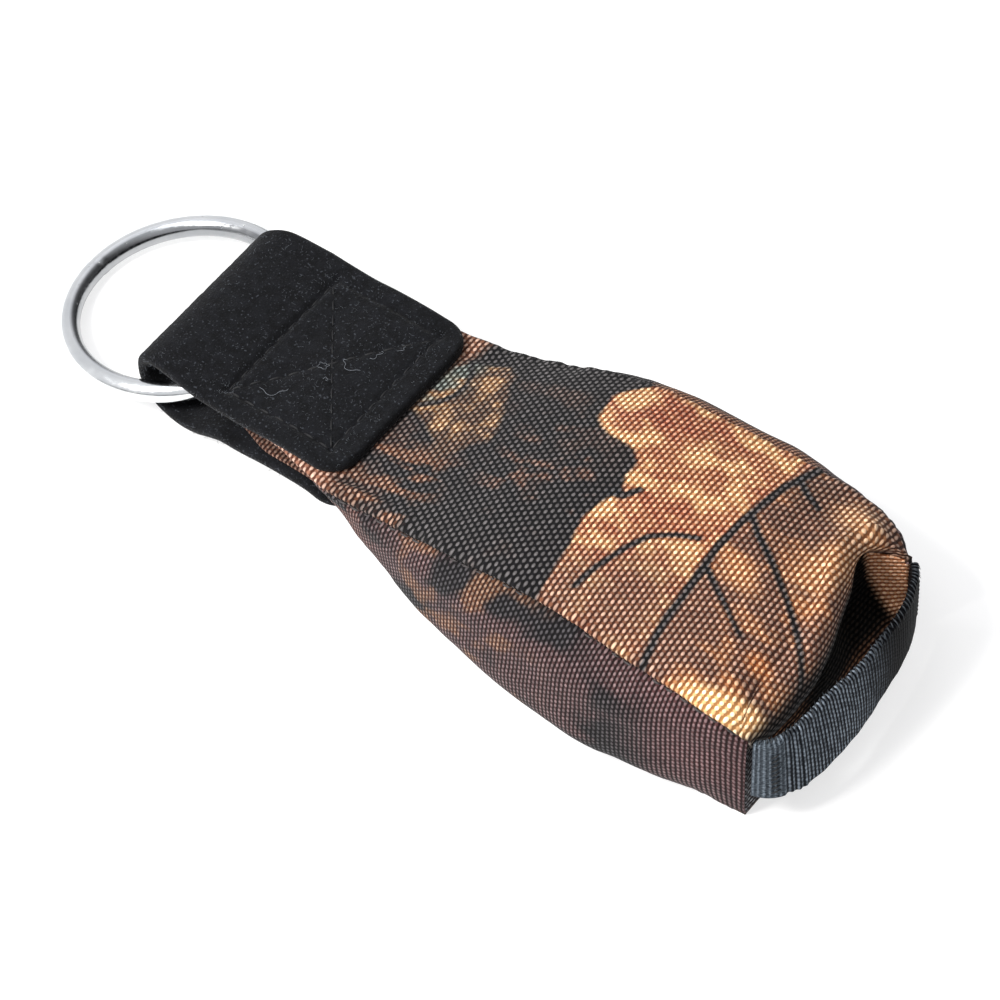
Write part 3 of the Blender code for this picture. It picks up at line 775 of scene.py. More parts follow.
def front_rows():
    """Even shape of the front panel: points, their places along and across the cloth, and its half width."""
    v = np.linspace(-1, 1, 121)
    v = np.sign(v) * (1 - (1 - np.abs(v)) ** 1.12)
    rows, us = [], []
    for x in np.arange(NECK_START, ROLL_START, 0.42):
        rows.append(np.stack([np.full(v.shape, x), v * curve(HALF_TOP, x), crown(x, v)], -1))
        us.append(np.full(v.shape, x))
    for t in np.linspace(0, 1, 52)[1:]:
        x, z, u = roll_down(v, t)
        rows.append(np.stack([x, v * curve(HALF_TOP, np.minimum(x, BAG_END)) * (1 - 0.012 * t), z], -1))
        us.append(u)
    us = np.array(us)
    width = curve(HALF_TOP, np.minimum(us, BAG_END))
    return np.array(rows), us, v[None] * width, width


def round_bump(us, vs, u, v, along, across):
    return np.exp(-(((us - u) / along) ** 2 + ((vs - v) / across) ** 2))


def front_lift(us, vs, edge):
    """How far the front panel stands off its even shape: lumps, gathers, folds, corners and a ridge."""
    lumps = 0.9 * (cloud(us / 16, vs / 12, 91, 3) - 0.5) * smooth(0, 6, edge) * smooth(44, 60, us)
    gathers = 0.55 * pucker(us, 5, edge) * smooth(30, 42, us) * smooth(138, 132, us)
    folds = 0
    for (ax, ay), (bx, by), depth, spread in NECK_FOLDS:
        d, t = near_line(us, vs, [(ax, ay), (0.5 * (ax + bx), 0.5 * (ay + by) + 0.5), (bx, by)])
        folds = folds - depth * np.exp(-(d / spread) ** 2) * smooth(1.0, 0.5, t) * smooth(0.0, 0.1, t)
    corner = 1.5 * round_bump(us, vs, 134.5, -20.5, 4.5, 4.5)
    corner = corner + 1.2 * round_bump(us, vs, 132.5, 21.5, 4.0, 3.0)
    ridge, _ = near_line(us, vs, BASE_RIDGE)
    swell = 1.1 * np.exp(-(ridge / 2.3) ** 2) - 0.5 * np.exp(-((ridge - 6.5) / 3.0) ** 2) * smooth(-6, 4, vs)
    return lumps + gathers + folds + corner + swell


def front_cloth(mat):
    grid, us, vs, width = front_rows()
    edge = width - np.abs(vs)
    grid[..., 1] *= 1 - 0.2 * smooth(30, 20, grid[..., 0])
    n = normals(grid)
    up = sign(n[:100, :, 2])
    n = n * up
    grid = grid + n * front_lift(us, vs, edge)[..., None]
    puff = round_bump(us, vs, 135.5, -22.5, 4.5, 3.0)
    grid[..., 1] -= 1.1 * puff
    grid[..., 0] += 0.7 * puff
    tuck = smooth(1.3, 0.0, edge)
    grid[..., 2] -= 1.25 * tuck ** 2 * smooth(19, 24, us)
    grid[..., 1] += np.sign(vs) * (0.55 * np.sin(np.pi * np.clip(tuck, 0, 1)) - 0.35 * tuck ** 3)
    # Painted shade: the print is darkened almost to black where the rolled base edge turns down and away from
    # the light above the recess.
    under = smooth(27.2, 23.2, grid[..., 2]) * smooth(0.1, 0.65, n[..., 0])
    under = under * smooth(ROLL_START, 132, us) * smooth(21.5, 18.0, vs)
    colour = blendto(front_print_and_highlights(us, vs), (0.010, 0.005, 0.004), 0.93 * under)
    return cloth_sheet("front_cloth", grid, np.stack([us, vs], -1), colour, mat, outward=up)


def side_cloth(name, side, seed, mat):
    xs = stations(41.5, 0.5)
    t = np.linspace(0, 1, 56)
    rows = []
    for x in xs:
        here = np.full(t.shape, x)
        low, high = curve(SEAM_BOTTOM, x) + 0.25, curve(SEAM_TOP, x) - 0.9
        rows.append(np.stack([here, side * half_width(here, t), low + (high - low) * t], -1))
    grid = np.array(rows)
    us = np.repeat(xs[:, None], len(t), 1)
    steps = np.linalg.norm(np.diff(grid, axis=1), axis=-1).T
    length = np.cumsum(np.r_[np.zeros((1, len(xs))), steps], 0).T
    vs = length - length[:, -1:]
    n = normals(grid)
    up = sign(n[..., 1] * side)
    n = n * up
    top_reach, low_reach = length[:, -1:] - length, length
    lumps = (cloud(us / 13, vs / 9, seed + 2, 3) - 0.5) * smooth(0, 5, top_reach) * smooth(0, 5, low_reach)
    gathers = 0.6 * pucker(us, seed + 1, top_reach) + 0.5 * pucker(us, seed + 4, low_reach)
    grid = grid + n * ((lumps + gathers) * smooth(BAG_END, 134, us))[..., None]
    for reach, width, depth in ((top_reach, 1.2, 0.9), (low_reach, 1.0, 0.6)):
        grid[..., 1] -= side * depth * smooth(width, 0.0, reach) ** 2
    grid[..., 2] = np.maximum(grid[..., 2], 0.12)
    uv = np.stack([us, vs], -1)
    return cloth_sheet(name, grid, uv, print_side(us, vs, seed), mat, outward=up)


def back_cloth(mat):
    xs = stations(NECK_START, 0.9)
    v = np.linspace(-1, 1, 61)
    rows = []
    for x in xs:
        here, level = np.full(v.shape, x), np.full(v.shape, curve(SEAM_BOTTOM, x))
        rows.append(np.stack([here, v * (curve(HALF_BOTTOM, x) - 0.25), level], -1))
    grid = np.array(rows)
    us = np.repeat(xs[:, None], len(v), 1)
    vs = grid[..., 1].copy()
    grid[..., 1] *= 1 - 0.15 * smooth(30, 20, us)
    edge = curve(HALF_BOTTOM, us) - np.abs(vs)
    wrinkle = 0.5 * cloud(us / 8, vs / 6, 101, 3) * smooth(0.5, 4, edge)
    grid[..., 2] += 0.02 + wrinkle * smooth(36, 46, us)
    uv = np.stack([us, vs], -1)
    return cloth_sheet("back_cloth", grid, uv, print_back(us, vs), mat, outward=-sign(normals(grid)[..., 2]))


def base_colour_and_shade(y, z):
    """Colour of the base panel: dark brown deepened as painted shade of the recess, black as painted shade
    behind the handle, a pale corner and a grey one.
    """
    # Dark brown ground, darker than the print so that it stands for the shade of the recess.
    colour = blendto(flat(y, (0.03, 0.018, 0.014)), (0.13, 0.065, 0.035), mottle(y, z, 6, 6, 5, 0.40, 0.60))
    # Painted shade: near-black where the panel lies in the recess behind the handle.
    colour = blendto(colour, (0.004, 0.003, 0.002), 0.97 * smooth(-12, 0, y) * smooth(5, 9, z))
    pale = 0.97 * smooth(18.8, 21.0, y + 0.15 * (z - 17)) * smooth(6, 11, z)
    colour = blendto(colour, (0.86, 0.53, 0.34), pale)
    return blendto(colour, (0.17, 0.175, 0.185), 0.95 * smooth(-15, -19, y))


def base_cloth(mat):
    """Small panel set into the base, hollowed behind the handle and pushed in near the right corner."""
    half = 23.6
    y = np.linspace(-half, half, 121)
    t = np.linspace(0, 1, 64)
    edge = (np.abs(y) / half) ** 14
    top = np.clip(curve(END_LINE, y / 23.9) - 2.5, 132.5, 136.8) * (1 - edge) + 138.7 * edge
    rows = []
    for s in t:
        z = 0.35 + s * (22.2 + 3.0 * (1 - (np.abs(y) / half) ** 6))
        ripple = 0.6 * (cloud(y / 5, z / 5, 111, 3) - 0.5) * (1 - edge)
        set_in = smooth(0.0, 0.75, np.full(y.shape, s))
        x = PANEL_END * (1 - set_in) + top * set_in
        rows.append(np.stack([x + ripple * smooth(0, 0.2, s), y, z], -1))
    grid = np.array(rows)
    ys, zs = grid[..., 1], grid[..., 2]
    length = np.cumsum(np.r_[0, np.hypot(np.diff(grid[40, :, 0]), np.diff(y))])
    uv = np.stack([zs, np.repeat(length[None], len(t), 0)], -1)
    return cloth_sheet("base_cloth", grid, uv, base_colour_and_shade(ys, zs), mat, outward=sign(normals(grid)[..., 0]))


def pouch_surface(x, v, side):
    """Pillow of the inner pouch, rounded off at its two ends; side is +1 above and -1 below."""
    low, high = curve(SEAM_BOTTOM, x) + 1.2, crown(x, np.zeros(np.shape(v))) - 1.6
    middle = 0.5 * (low + curve(SEAM_TOP, x) - 1.6)
    room = np.where(side > 0, high - middle, middle - low)
    near = np.minimum(np.minimum((x - 41.0) / 7.0, (129.6 - x) / 10.0), 1.0)
    cap = 0.12 + 0.88 * np.sqrt(np.clip(1 - (1 - near) ** 2, 0, 1))
    lift = 0.3 + np.maximum(room - 0.3, 0) * cap * (1 - np.abs(v) ** 4)
    half = half_width(x, np.full(np.shape(v), 0.5)) - 3.6
    return np.stack([x, v * half * (0.86 + 0.14 * cap), middle + side * lift], -1)


def pouch_half(name, side, mat):
    v = np.linspace(-1, 1, 41)
    xs = np.linspace(POUCH_START, POUCH_END, 90)
    grid = np.array([pouch_surface(np.full(v.shape, x), v, side) for x in xs])
    up = sign(normals(grid)[..., 2] * side)
    uv = np.stack([grid[..., 0], grid[..., 1]], -1)
    return cloth_sheet(name, grid, uv, np.ones(grid.shape), mat, thickness=0.28, outward=up)


def pouch_spot(x, v, shift):
    """Place on the pouch's upper face, with a small shift."""
    return pouch_surface(np.array([x]), np.array([v]), 1)[0] + shift


def pouch_seam(mat):
    """Thread round the two sides and the end of the pouch."""
    xs = np.linspace(48, POUCH_END, 60)
    left, right = [[pouch_spot(x, v, [0.0, 0.3 * v, -0.3]) for x in xs] for v in (-1.0, 1.0)]
    end = [pouch_spot(POUCH_END, v, [0.35, 0.0, -0.3]) for v in np.linspace(-1, 1, 24)]
    return threads("pouch_seam", [left + end + right[::-1]], 0.22, 6, mat)


# ---------------------------------------------------------------- strap

def strap_path():
    """Middle of the strap from the end of its front leg, round the fold, to the end of its back leg."""
    front = [(x, float(curve(SEAM_TOP, x) + curve(DOME, x)) + GAP + STRAP_THICKNESS / 2 - 0.1)
             for x in np.arange(LEG_END, 23.0, -0.5)]
    loop = [(19.0, 15.1), (16.0, 15.1), (13.0, 15.1), (10.0, 15.1)]
    for i in range(1, 24):
        angle = math.pi * i / 24
        c, k = math.cos(angle), math.sin(angle) ** 0.72
        z = 9.0 + 6.05 * math.copysign(abs(c) ** 0.8, c)
        loop.append((7.2 - 8.0 * k + 0.16 * (15.0 - z), z))
    loop += [(9.8, 2.95), (12.5, 3.8), (15.6, 5.3), (19.0, 6.7)]
    back = [(x, float(curve(SEAM_BOTTOM, x)) - GAP - STRAP_THICKNESS / 2 + 0.1)
            for x in np.arange(23.0, LEG_END + 0.1, 0.5)]
    points = np.array(front + loop + back)
    s = lengths(points)
    fine = np.linspace(0, s[-1], int(s[-1] / 0.45))
    t = np.stack([np.interp(fine, s, points[:, 0]), np.interp(fine, s, points[:, 1])], -1)
    for _ in range(10):
        t[1:-1] = 0.25 * t[:-2] + 0.5 * t[1:-1] + 0.25 * t[2:]
    return t


BOX_NEAR, BOX_FAR, BOX_HALF = 18.2, 41.6, 15.2
BOX_LINES = [[(BOX_NEAR, -BOX_HALF), (BOX_FAR, -BOX_HALF)], [(BOX_FAR, -BOX_HALF), (BOX_FAR, BOX_HALF)],
             [(BOX_FAR, BOX_HALF), (BOX_NEAR, BOX_HALF)], [(BOX_NEAR, BOX_HALF), (BOX_NEAR, -BOX_HALF)],
             [(BOX_NEAR, -BOX_HALF), (BOX_FAR, BOX_HALF)], [(BOX_NEAR, BOX_HALF), (BOX_FAR, -BOX_HALF)]]


def stitch_count(line):
    (x0, y0), (x1, y1) = line
    return round(math.hypot(x1 - x0, y1 - y0) / STITCH_PITCH)


def stitch_spots(line):
    """Ends of the separate stitches along a straight line."""
    (x0, y0), (x1, y1) = line
    count = stitch_count(line)
    inset = STITCH_GAP / STITCH_PITCH / 2
    spots = []
    for i in range(count):
        ends = (i + inset, i + 1 - inset)
        spots.append([(x0 + (x1 - x0) * t / count, y0 + (y1 - y0) * t / count) for t in ends])
    return spots


def strap_press(x, y):
    """How far the stitching pulls the strap's face in."""
    depth = 0.0
    for line, pull in zip(BOX_LINES, (0.8, 0.8, 0.9, 1.9, 0.35, 0.35)):
        d, t = near_line(x, y, line)
        depth = depth + pull * (0.45 * np.exp(-(d / 0.42) ** 2) + 0.14 * np.exp(-(d / 1.5) ** 2))
        hole = np.abs((t * stitch_count(line)) % 1.0 - 0.5)
        depth = depth + 0.35 * np.exp(-(d / 0.5) ** 2) * smooth(0.36, 0.5, hole)
    return np.minimum(depth, 1.0)


def strap_width(s, total, x):
    """Half width of the strap with the round corners of its two ends."""
    half = FOLD_HALF + (STRAP_HALF - FOLD_HALF) * np.clip(x / 14.0, 0, 1) ** 0.8
    over = np.clip(LEG_CORNER - np.minimum(s, total - s), 0, LEG_CORNER)
    return half - LEG_CORNER + np.sqrt(np.maximum(LEG_CORNER ** 2 - over ** 2, 0))


def strap_droop(x, y, top):
    """How far the strap's faces follow the rounding of the neck, for each y across."""
    return -0.55 * (y / STRAP_HALF) ** 2 * smooth(20, 44, x) * (1 if top else 0.3)


def strap_section(place, normal, width, s, total, across, bow):
    """Loop of points round the strap at one station: outer face, one edge, inner face, other edge."""
    x, z = place
    h = STRAP_THICKNESS / 2
    w = max(width, 0.5) - h * 0.8
    thin = 1.0 - 0.22 * (1 - min(1.0, s, total - s)) ** 2
    y = across * w
    on_top, on_low = smooth(0.3, 0.8, normal[1]), smooth(-0.3, -0.8, normal[1])
    fuzz = 0.16 * (cloud(np.full(y.shape, s / 1.1), y / 1.1, 131, 3) - 0.5)
    press = strap_press(np.full(y.shape, x), y) * (on_top + on_low)
    droop = strap_droop(x, y, normal[1] > 0)
    sag = 0.35 * np.exp(-((x - 9) / 5) ** 2) * (1 - (y / 19) ** 2) * on_top
    outer, inner = [np.stack([x + normal[0] * lift, y, z + normal[1] * lift + droop], -1)
                    for lift in (h * thin - press + fuzz + sag, -h * thin + sag)]
    edges = []
    for side in (1, -1):
        turns = [(side * h * thin * math.cos(a), side * (w + h * 0.8 * math.sin(a))) for a in bow]
        edges.append([[x + normal[0] * b, reach, z + normal[1] * b + droop[-1]] for b, reach in turns])
    return np.concatenate([outer, edges[0], inner[::-1], edges[1]])


def strap_caps(rows, count, wide, bow):
    """Faces that close the strap's two ends: wide points across each face and bow points round each edge."""
    faces = []
    for base in (0, (rows - 1) * count):
        low_last = base + 2 * wide + bow - 1
        for a in range(wide - 1):
            faces.append([base + a, base + a + 1, low_last - a - 1, low_last - a])
        faces.append(list(range(base + wide - 1, base + wide + bow + 1)))
        faces.append([base] + list(range(base + count - 1, base + count - bow - 2, -1)))
    return faces


def strap(mat):
    path = strap_path()
    tangent = directions(path)
    normal = np.stack([tangent[:, 1], -tangent[:, 0]], -1)
    if normal[0, 1] < 0:
        normal = -normal
    s = lengths(path)
    width = strap_width(s, s[-1], path[:, 0])
    across, bow = np.linspace(-1, 1, 84), np.linspace(0, math.pi, 9)[1:-1]
    loops = np.array([strap_section(path[k], normal[k], width[k], s[k], s[-1], across, bow)
                      for k in range(len(path))])
    wider = 1.2 + 0.5 * np.exp(-((loops[..., 0] - 5) / 7) ** 2)
    loops[..., 1] += wider * smooth(-6, 6, loops[..., 0]) * smooth(0, 19, loops[..., 1])
    rows, count = loops.shape[:2]
    faces = loop_faces(rows, count) + strap_caps(rows, count, len(across), len(bow))
    return finish_mesh("strap_cloth", loops.reshape(-1, 3), faces, mat), path, normal


def strap_face(path, normal, x, y, top=True):
    """Height of the strap's outer face at a place in plan."""
    pick = normal[:, 1] > 0.3 if top else normal[:, 1] < -0.3
    order = np.argsort(path[pick, 0])
    centre = np.interp(x, path[pick, 0][order], path[pick, 1][order])
    droop = strap_droop(x, y, top)
    press = strap_press(np.array([x], float), np.array([y], float))[0]
    side = 1 if top else -1
    return float(centre + side * (STRAP_THICKNESS / 2 - press) + droop)


def strap_stitches(name, path, normal, top, mat):
    paths = []
    side = 1 if top else -1
    for line in BOX_LINES:
        for (x0, y0), (x1, y1) in stitch_spots(line):
            points = []
            for k in range(7):
                t = k / 6
                x, y = x0 + (x1 - x0) * t, y0 + (y1 - y0) * t
                z = strap_face(path, normal, x, y, top)
                points.append((x, y, z + side * (0.26 * math.sin(math.pi * t) ** 0.6 - 0.16)))
            paths.append(points)
    return threads(name, paths, 0.2, 7, mat, taper=True)


def face_fibres(rng, path, normal):
    """Short fibres on the strap's front face, thickest round two corners of the stitched box."""
    paths = []
    for i in range(520):
        x, y = rng.uniform(0.5, 46), rng.uniform(-18.4, 18.4)
        if i < 60:
            x = rng.gauss(18.0, 0.9)
            y = rng.choice((-15.4, -15.4, 15.2)) + rng.gauss(0.0, 1.1)
        z = strap_face(path, normal, max(x, 4.5), y) + 0.06
        length, turn = rng.uniform(0.2, 0.7), rng.uniform(0, 2 * math.pi)
        bend = rng.uniform(-1.6, 1.6)
        points = []
        for k in range(4):
            t = k / 3
            a, reach = turn + bend * t, length * t
            points.append((x + math.cos(a) * reach, y + math.sin(a) * reach, z + rng.uniform(0.0, 0.22)))
        if max(p[0] for p in points) < 45.5 and max(abs(p[1]) for p in points) < 18.6:
            paths.append(points)
    return paths


def edge_fibres(rng, path, normal):
    """Fibres that stick out from the strap's two long edges."""
    paths = []
    for _ in range(380):
        side = -1 if rng.random() < 0.6 else 1
        k = rng.randrange(2, len(path) - 2)
        x, z = path[k]
        if x > LEG_END - LEG_CORNER:
            continue
        w = FOLD_HALF + (STRAP_HALF - FOLD_HALF) * min(1, max(0, x / 14)) ** 0.8 - 0.25
        h = rng.uniform(-0.9, 0.9)
        x, y, z = x + normal[k, 0] * h, side * w, z + normal[k, 1] * h - 0.45 * smooth(20, 44, x)
        out = side * rng.uniform(0.25, 0.75)
        swing = rng.uniform(-0.8, 0.8)
        paths.append([(x, y, z), (x + swing * 0.5, y + out * 0.6, z + rng.uniform(-0.2, 0.3)),
                      (x + swing, y + out, z + rng.uniform(-0.3, 0.5))])
    return paths


def strap_lint(path, normal, mat):
    """Loose fibres on the strap's front face and along its edges."""
    rng = random.Random(7)
    paths = face_fibres(rng, path, normal) + edge_fibres(rng, path, normal)
    return threads("strap_lint", paths, 0.02, 3, mat)


def strap_threads(path, normal, mat):
    """A few curled light threads lying on the front leg."""
    curls = [((28.5, -1.6), 0.9, 7.4, 0.4), ((32.6, 1.4), 1.7, 2.9, 2.6), ((34.2, 5.6), 1.3, 2.6, 5.2),
             ((24.0, -10.5), 1.8, 2.7, 3.9), ((37.5, 9.5), 0.8, 3.8, 5.0), ((31.0, -4.0), 0.6, 3.6, 0.0)]
    paths = []
    for (cx, cy), radius, sweep, start in curls:
        points = []
        for k in range(18):
            a = start + sweep * k / 17
            r = radius * (1 + 0.25 * math.sin(1.7 * a) + 0.22 * math.sin(4.3 * a + cx))
            x = cx + r * math.cos(a) + 0.9 * radius * k / 17
            y = cy + r * math.sin(a) * 0.8 + 0.5 * radius * k / 17
            points.append((x, y, strap_face(path, normal, x, y) + 0.16 + 0.1 * math.sin(3 * a)))
        paths.append(points)
    return threads("strap_threads", paths, 0.04, 5, mat)


# ---------------------------------------------------------------- ring, handle, seams

def ring(mat):
    centre = np.array([RING_X, 0.0, RING_Z])
    e1 = np.array([math.cos(RING_TILT), 0, math.sin(RING_TILT)])
    e2 = np.array([0, 1.0, 0])
    axis = np.array([-math.sin(RING_TILT), 0, math.cos(RING_TILT)])
    n, m = 288, 36
    verts, shade = [], []
    for i in range(n):
        a = 2 * math.pi * i / n
        radial = e1 * math.cos(a) + e2 * math.sin(a)
        off = (a - math.radians(177) + math.pi) % (2 * math.pi) - math.pi
        weld = math.exp(-(off / 0.035) ** 2)
        for k in range(m):
            b = 2 * math.pi * k / m
            rough = 0.5 + 0.5 * math.sin(3 * b + 1.0)
            r = WIRE_RADIUS + 0.13 * weld * rough - 0.09 * math.exp(-((off - 0.05) / 0.015) ** 2)
            verts.append(centre + radial * (RING_RADIUS + r * math.cos(b)) + axis * r * math.sin(b))
            # Painted reflection: the inner side of the wire is darkened and a thin dark band runs along its
            # inner top, standing for dark surroundings mirrored in the steel.
            inner = float(smooth(-0.40, -0.75, math.cos(b)))
            line = math.exp(-((math.cos(b) + 0.52) / 0.17) ** 2) * float(smooth(0.0, 0.3, math.sin(b)))
            tone = (1 - 0.58 * inner) * (1 - 0.55 * line)
            shade.append((tone * 0.985, tone, min(1.0, tone * 1.02)))
    faces = []
    for i in range(n):
        here, after = i * m, (i + 1) % n * m
        faces += [[here + k, after + k, after + (k + 1) % m, here + (k + 1) % m] for k in range(m)]
    return finish_mesh("ring_steel", np.array(verts), faces, mat, colour=np.array(shade))


HANDLE_UPPER = [(139.8, -23.4), (141.6, -22.2), (142.8, -19.8), (143.4, -16.7), (143.7, -13.0),
                (143.95, -9.2), (144.3, -5.2), (144.6, -1.0), (144.7, 3.2), (144.5, 7.6), (144.2, 11.6),
                (143.7, 15.2), (142.9, 18.0), (141.9, 20.6), (140.9, 22.3), (139.8, 23.5)]
HANDLE_LOWER = [(139.8, -23.4), (142.3, -22.6), (144.2, -20.4), (145.7, -17.3), (146.6, -13.4),
                (147.0, -9.4), (146.9, -5.2), (146.5, -1.0), (146.0, 3.2), (145.4, 7.6), (144.8, 11.6),
                (143.9, 15.4), (143.0, 18.4), (141.9, 20.8), (140.9, 22.4), (139.8, 23.5)]
HANDLE_LOW, HANDLE_HIGH, HANDLE_THICKNESS = 7.6, 22.6, 1.4


def resample(points, count):
    """Evenly spaced, smoothed points on a line."""
    points = np.array(points, float)
    s = np.arange(len(points))
    fine = np.linspace(0, len(points) - 1, count)
    line = np.stack([np.interp(fine, s, points[:, k]) for k in range(2)], -1)
    for _ in range(60):
        line[1:-1] = 0.25 * line[:-2] + 0.5 * line[1:-1] + 0.25 * line[2:]
    return line


def handle_frame(count=260):
    """Upper and lower edge lines of the webbing, its outward directions and its length so far."""
    upper, lower = resample(HANDLE_UPPER, count), resample(HANDLE_LOWER, count)
    middle = 0.5 * (upper + lower)
    tangent = directions(middle)
    out = np.stack([tangent[:, 1], -tangent[:, 0]], -1)
    return upper, lower, out, lengths(middle)


def handle_place(shape, k, level, push):
    """Place on the webbing: station k, level from 0 at the lower edge to 1 at the upper, pushed outward."""
    upper, lower, out, s = shape
    x, y = lower[k] + (upper[k] - lower[k]) * level
    z = HANDLE_LOW + (HANDLE_HIGH - HANDLE_LOW) * level
    z += 0.8 * smooth(0.6 * s[-1], s[-1], s[k])
    wave = 0.3 * math.sin(s[k] * 0.4 + 1.0) + 0.14 * math.sin(s[k] * 1.3)
    z += wave * smooth(0, 6, s[k]) * smooth(0, 6, s[-1] - s[k])
    curl = 0.45 * math.sin(math.pi * level) * math.sin(math.pi * s[k] / s[-1])
    return [x + out[k, 0] * (push + curl), y + out[k, 1] * (push + curl), z]


def handle_loop(shape, k, levels, bow):
    """Loop of points round the webbing at one station: outer face, upper edge, inner face, lower edge."""
    s = shape[3][k]
    h, width = HANDLE_THICKNESS / 2, HANDLE_HIGH - HANDLE_LOW
    folded = 0.45 * float(smooth(5.8, 5.0, s))
    ridges = sum(0.26 * math.exp(-((s - c) / 0.34) ** 2) for c in (6.5, 7.9, 9.2))
    rib = 0.012 * math.sin(2 * math.pi * s / 1.6) * float(smooth(8.5, 10.5, s))
    face = h + folded + ridges + rib
    loop = []
    for row, push, side in ((levels, face, 1), (levels[::-1], -h, -1)):
        loop += [handle_place(shape, k, v, push) for v in row]
        for a in bow:
            level = row[-1] + side * math.sin(a) * h / width
            deep = side * h * math.cos(a)
            loop.append(handle_place(shape, k, level, deep + (face - h) * (deep > 0)))
    return loop


def handle(mat):
    shape = handle_frame()
    levels, bow = np.linspace(0.045, 0.955, 44), np.linspace(0, math.pi, 9)[1:-1]
    width = HANDLE_HIGH - HANDLE_LOW
    across = []
    for row, side in ((levels, 1), (levels[::-1], -1)):
        across += [v * width for v in row]
        across += [width * row[-1] + side * 0.25 * (i + 1) for i in range(len(bow))]
    loops = np.array([handle_loop(shape, k, levels, bow) for k in range(len(shape[3]))])
    uvs = np.array([[(length, c) for c in across] for length in shape[3]])
    rows, count = loops.shape[:2]
    faces = loop_faces(rows, count)
    faces.append(list(range(count))[::-1])
    faces.append([(rows - 1) * count + j for j in range(count)])
    return finish_mesh("handle_webbing", loops.reshape(-1, 3), faces, mat, uv=uvs)


def selvedge(mat):
    """Uneven overlock thread along the webbing's upper edge."""
    shape = handle_frame()
    s = shape[3]
    rng = random.Random(12)
    paths = []
    for k in range(6, len(s) - 8, 5):
        wide = rng.uniform(0.45, 0.8)
        high = rng.uniform(0.985, 1.03)
        low = high - rng.uniform(0.05, 0.09)
        spots = ((k, low, wide + 0.25), (k + 1, high, wide * 0.7), (k + 2, high + 0.012, 0.0),
                 (min(k + 4, len(s) - 1), high, -wide))
        paths.append([handle_place(shape, *spot) for spot in spots])
    return threads("handle_selvedge", paths, 0.13, 6, mat, taper=True)


def seam_stitches(name, top, side, mat):
    """Lockstitches lying in the groove of a long seam."""
    seam, half = (SEAM_TOP, HALF_TOP) if top else (SEAM_BOTTOM, HALF_BOTTOM)
    inset, rise = (0.15, -1.25) if top else (0.1, 0.62)
    pitch, stitch, first, last = 3.0, 2.2, 48.0, 136.5
    paths = []
    for start in np.arange(first, last, pitch):
        points = []
        for t in (0, 1 / 3, 2 / 3, 1):
            x = start + stitch * t
            bow = 0.12 * math.sin(math.pi * t)
            points.append((x, side * (float(curve(half, x)) - inset + bow), float(curve(seam, x)) + rise))
        paths.append(points)
    return threads(name, paths, 0.24, 6, mat, taper=True)


def base_stitches(name, z, mat):
    """Stitches of the base panel's two seams, the front one deep under the rolled edge."""
    pitch, stitch, first, last = 3.1, 2.3, -20.0, 12.0
    paths = []
    for y in np.arange(first, last, pitch):
        x = min(float(curve(END_LINE, y / 23.9)) - 2.2, 137.0) if z > 10 else 138.95
        paths.append([(x, y + stitch * t, z + 0.05 * math.sin(math.pi * t)) for t in (0, 1 / 3, 2 / 3, 1)])
    return threads(name, paths, 0.24, 6, mat, taper=True)


def tack(name, side, mat):
    """Zigzag bar tack on one end of the webbing."""
    shape = handle_frame()
    station, raised = (20, 0.62) if side < 0 else (len(shape[3]) - 27, -0.08)
    push = HANDLE_THICKNESS / 2 + raised
    paths = []
    for i in range(9):
        low = 0.14 + 0.08 * i
        spots = ((station, low, push), (station + 5, low + 0.03, push + 0.12),
                 (station + 10, low + 0.055, push))
        paths.append([handle_place(shape, *spot) for spot in spots])
    return threads(name, paths, 0.18, 6, mat, taper=True)


# ---------------------------------------------------------------- assembly

def loop_blend(piece):
    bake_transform(piece)


def handle_blend(piece):
    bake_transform(piece)


def build_bag():
    camo = oxford("camo_oxford")
    camo_side = oxford("camo_oxford_side", gloss=0.65, lift=0.03, gain=1.12, pitch=0.86)
    camo_base = oxford("camo_oxford_base", gloss=0.8, lift=0.002, gain=1.3, specular=0.04)
    front = front_cloth(camo)
    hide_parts("front_panel")
    loop_blend(front)
    back = back_cloth(camo_side)
    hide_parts("back_panel")
    loop_blend(back)
    for word, side, seed in (("left", -1, NEAR_SEED), ("right", 1, FAR_SEED)):
        piece = side_cloth(f"side_cloth_{word}", side, seed, camo_side)
        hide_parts(f"{word}_gusset")
        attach(piece, "bag")
    base = base_cloth(camo_base)
    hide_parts("base_panel")
    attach(base, "bag")
    return front, back


def build_strap(thread):
    band, path, normal = strap(brushed_black("brushed_black"))
    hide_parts("strap_front_leg", "strap_back_leg", "strap_loop")
    loop_blend(band)
    for word, top, slot in (("front", True, "needle_thread"), ("back", False, "bobbin_thread")):
        piece = strap_stitches(f"strap_stitches_{word}", path, normal, top, thread)
        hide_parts(f"box_stitch_{word}")
        loop_blend(piece)
    lint = plain_thread("lint", (0.10, 0.11, 0.125), 0.8)
    pale = plain_thread("pale_thread", (0.13, 0.142, 0.16), 0.7)
    for piece in (strap_lint(path, normal, lint), strap_threads(path, normal, pale)):
        loop_blend(piece)


def build_ring():
    wire = ring(steel("polished_steel"))
    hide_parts("steel_ring")
    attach(wire, "ring")


def build_handle(thread):
    band = handle(ribbed_webbing("ribbed_webbing"))
    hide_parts("base_handle")
    handle_blend(band)
    trim = selvedge(plain_thread("selvedge_thread", (0.022, 0.026, 0.031), 0.6))
    handle_blend(trim)
    for word, side in (("left", -1), ("right", 1)):
        piece = tack(f"tack_{word}", side, thread)
        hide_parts(f"handle_tack_{word}")
        handle_blend(piece)


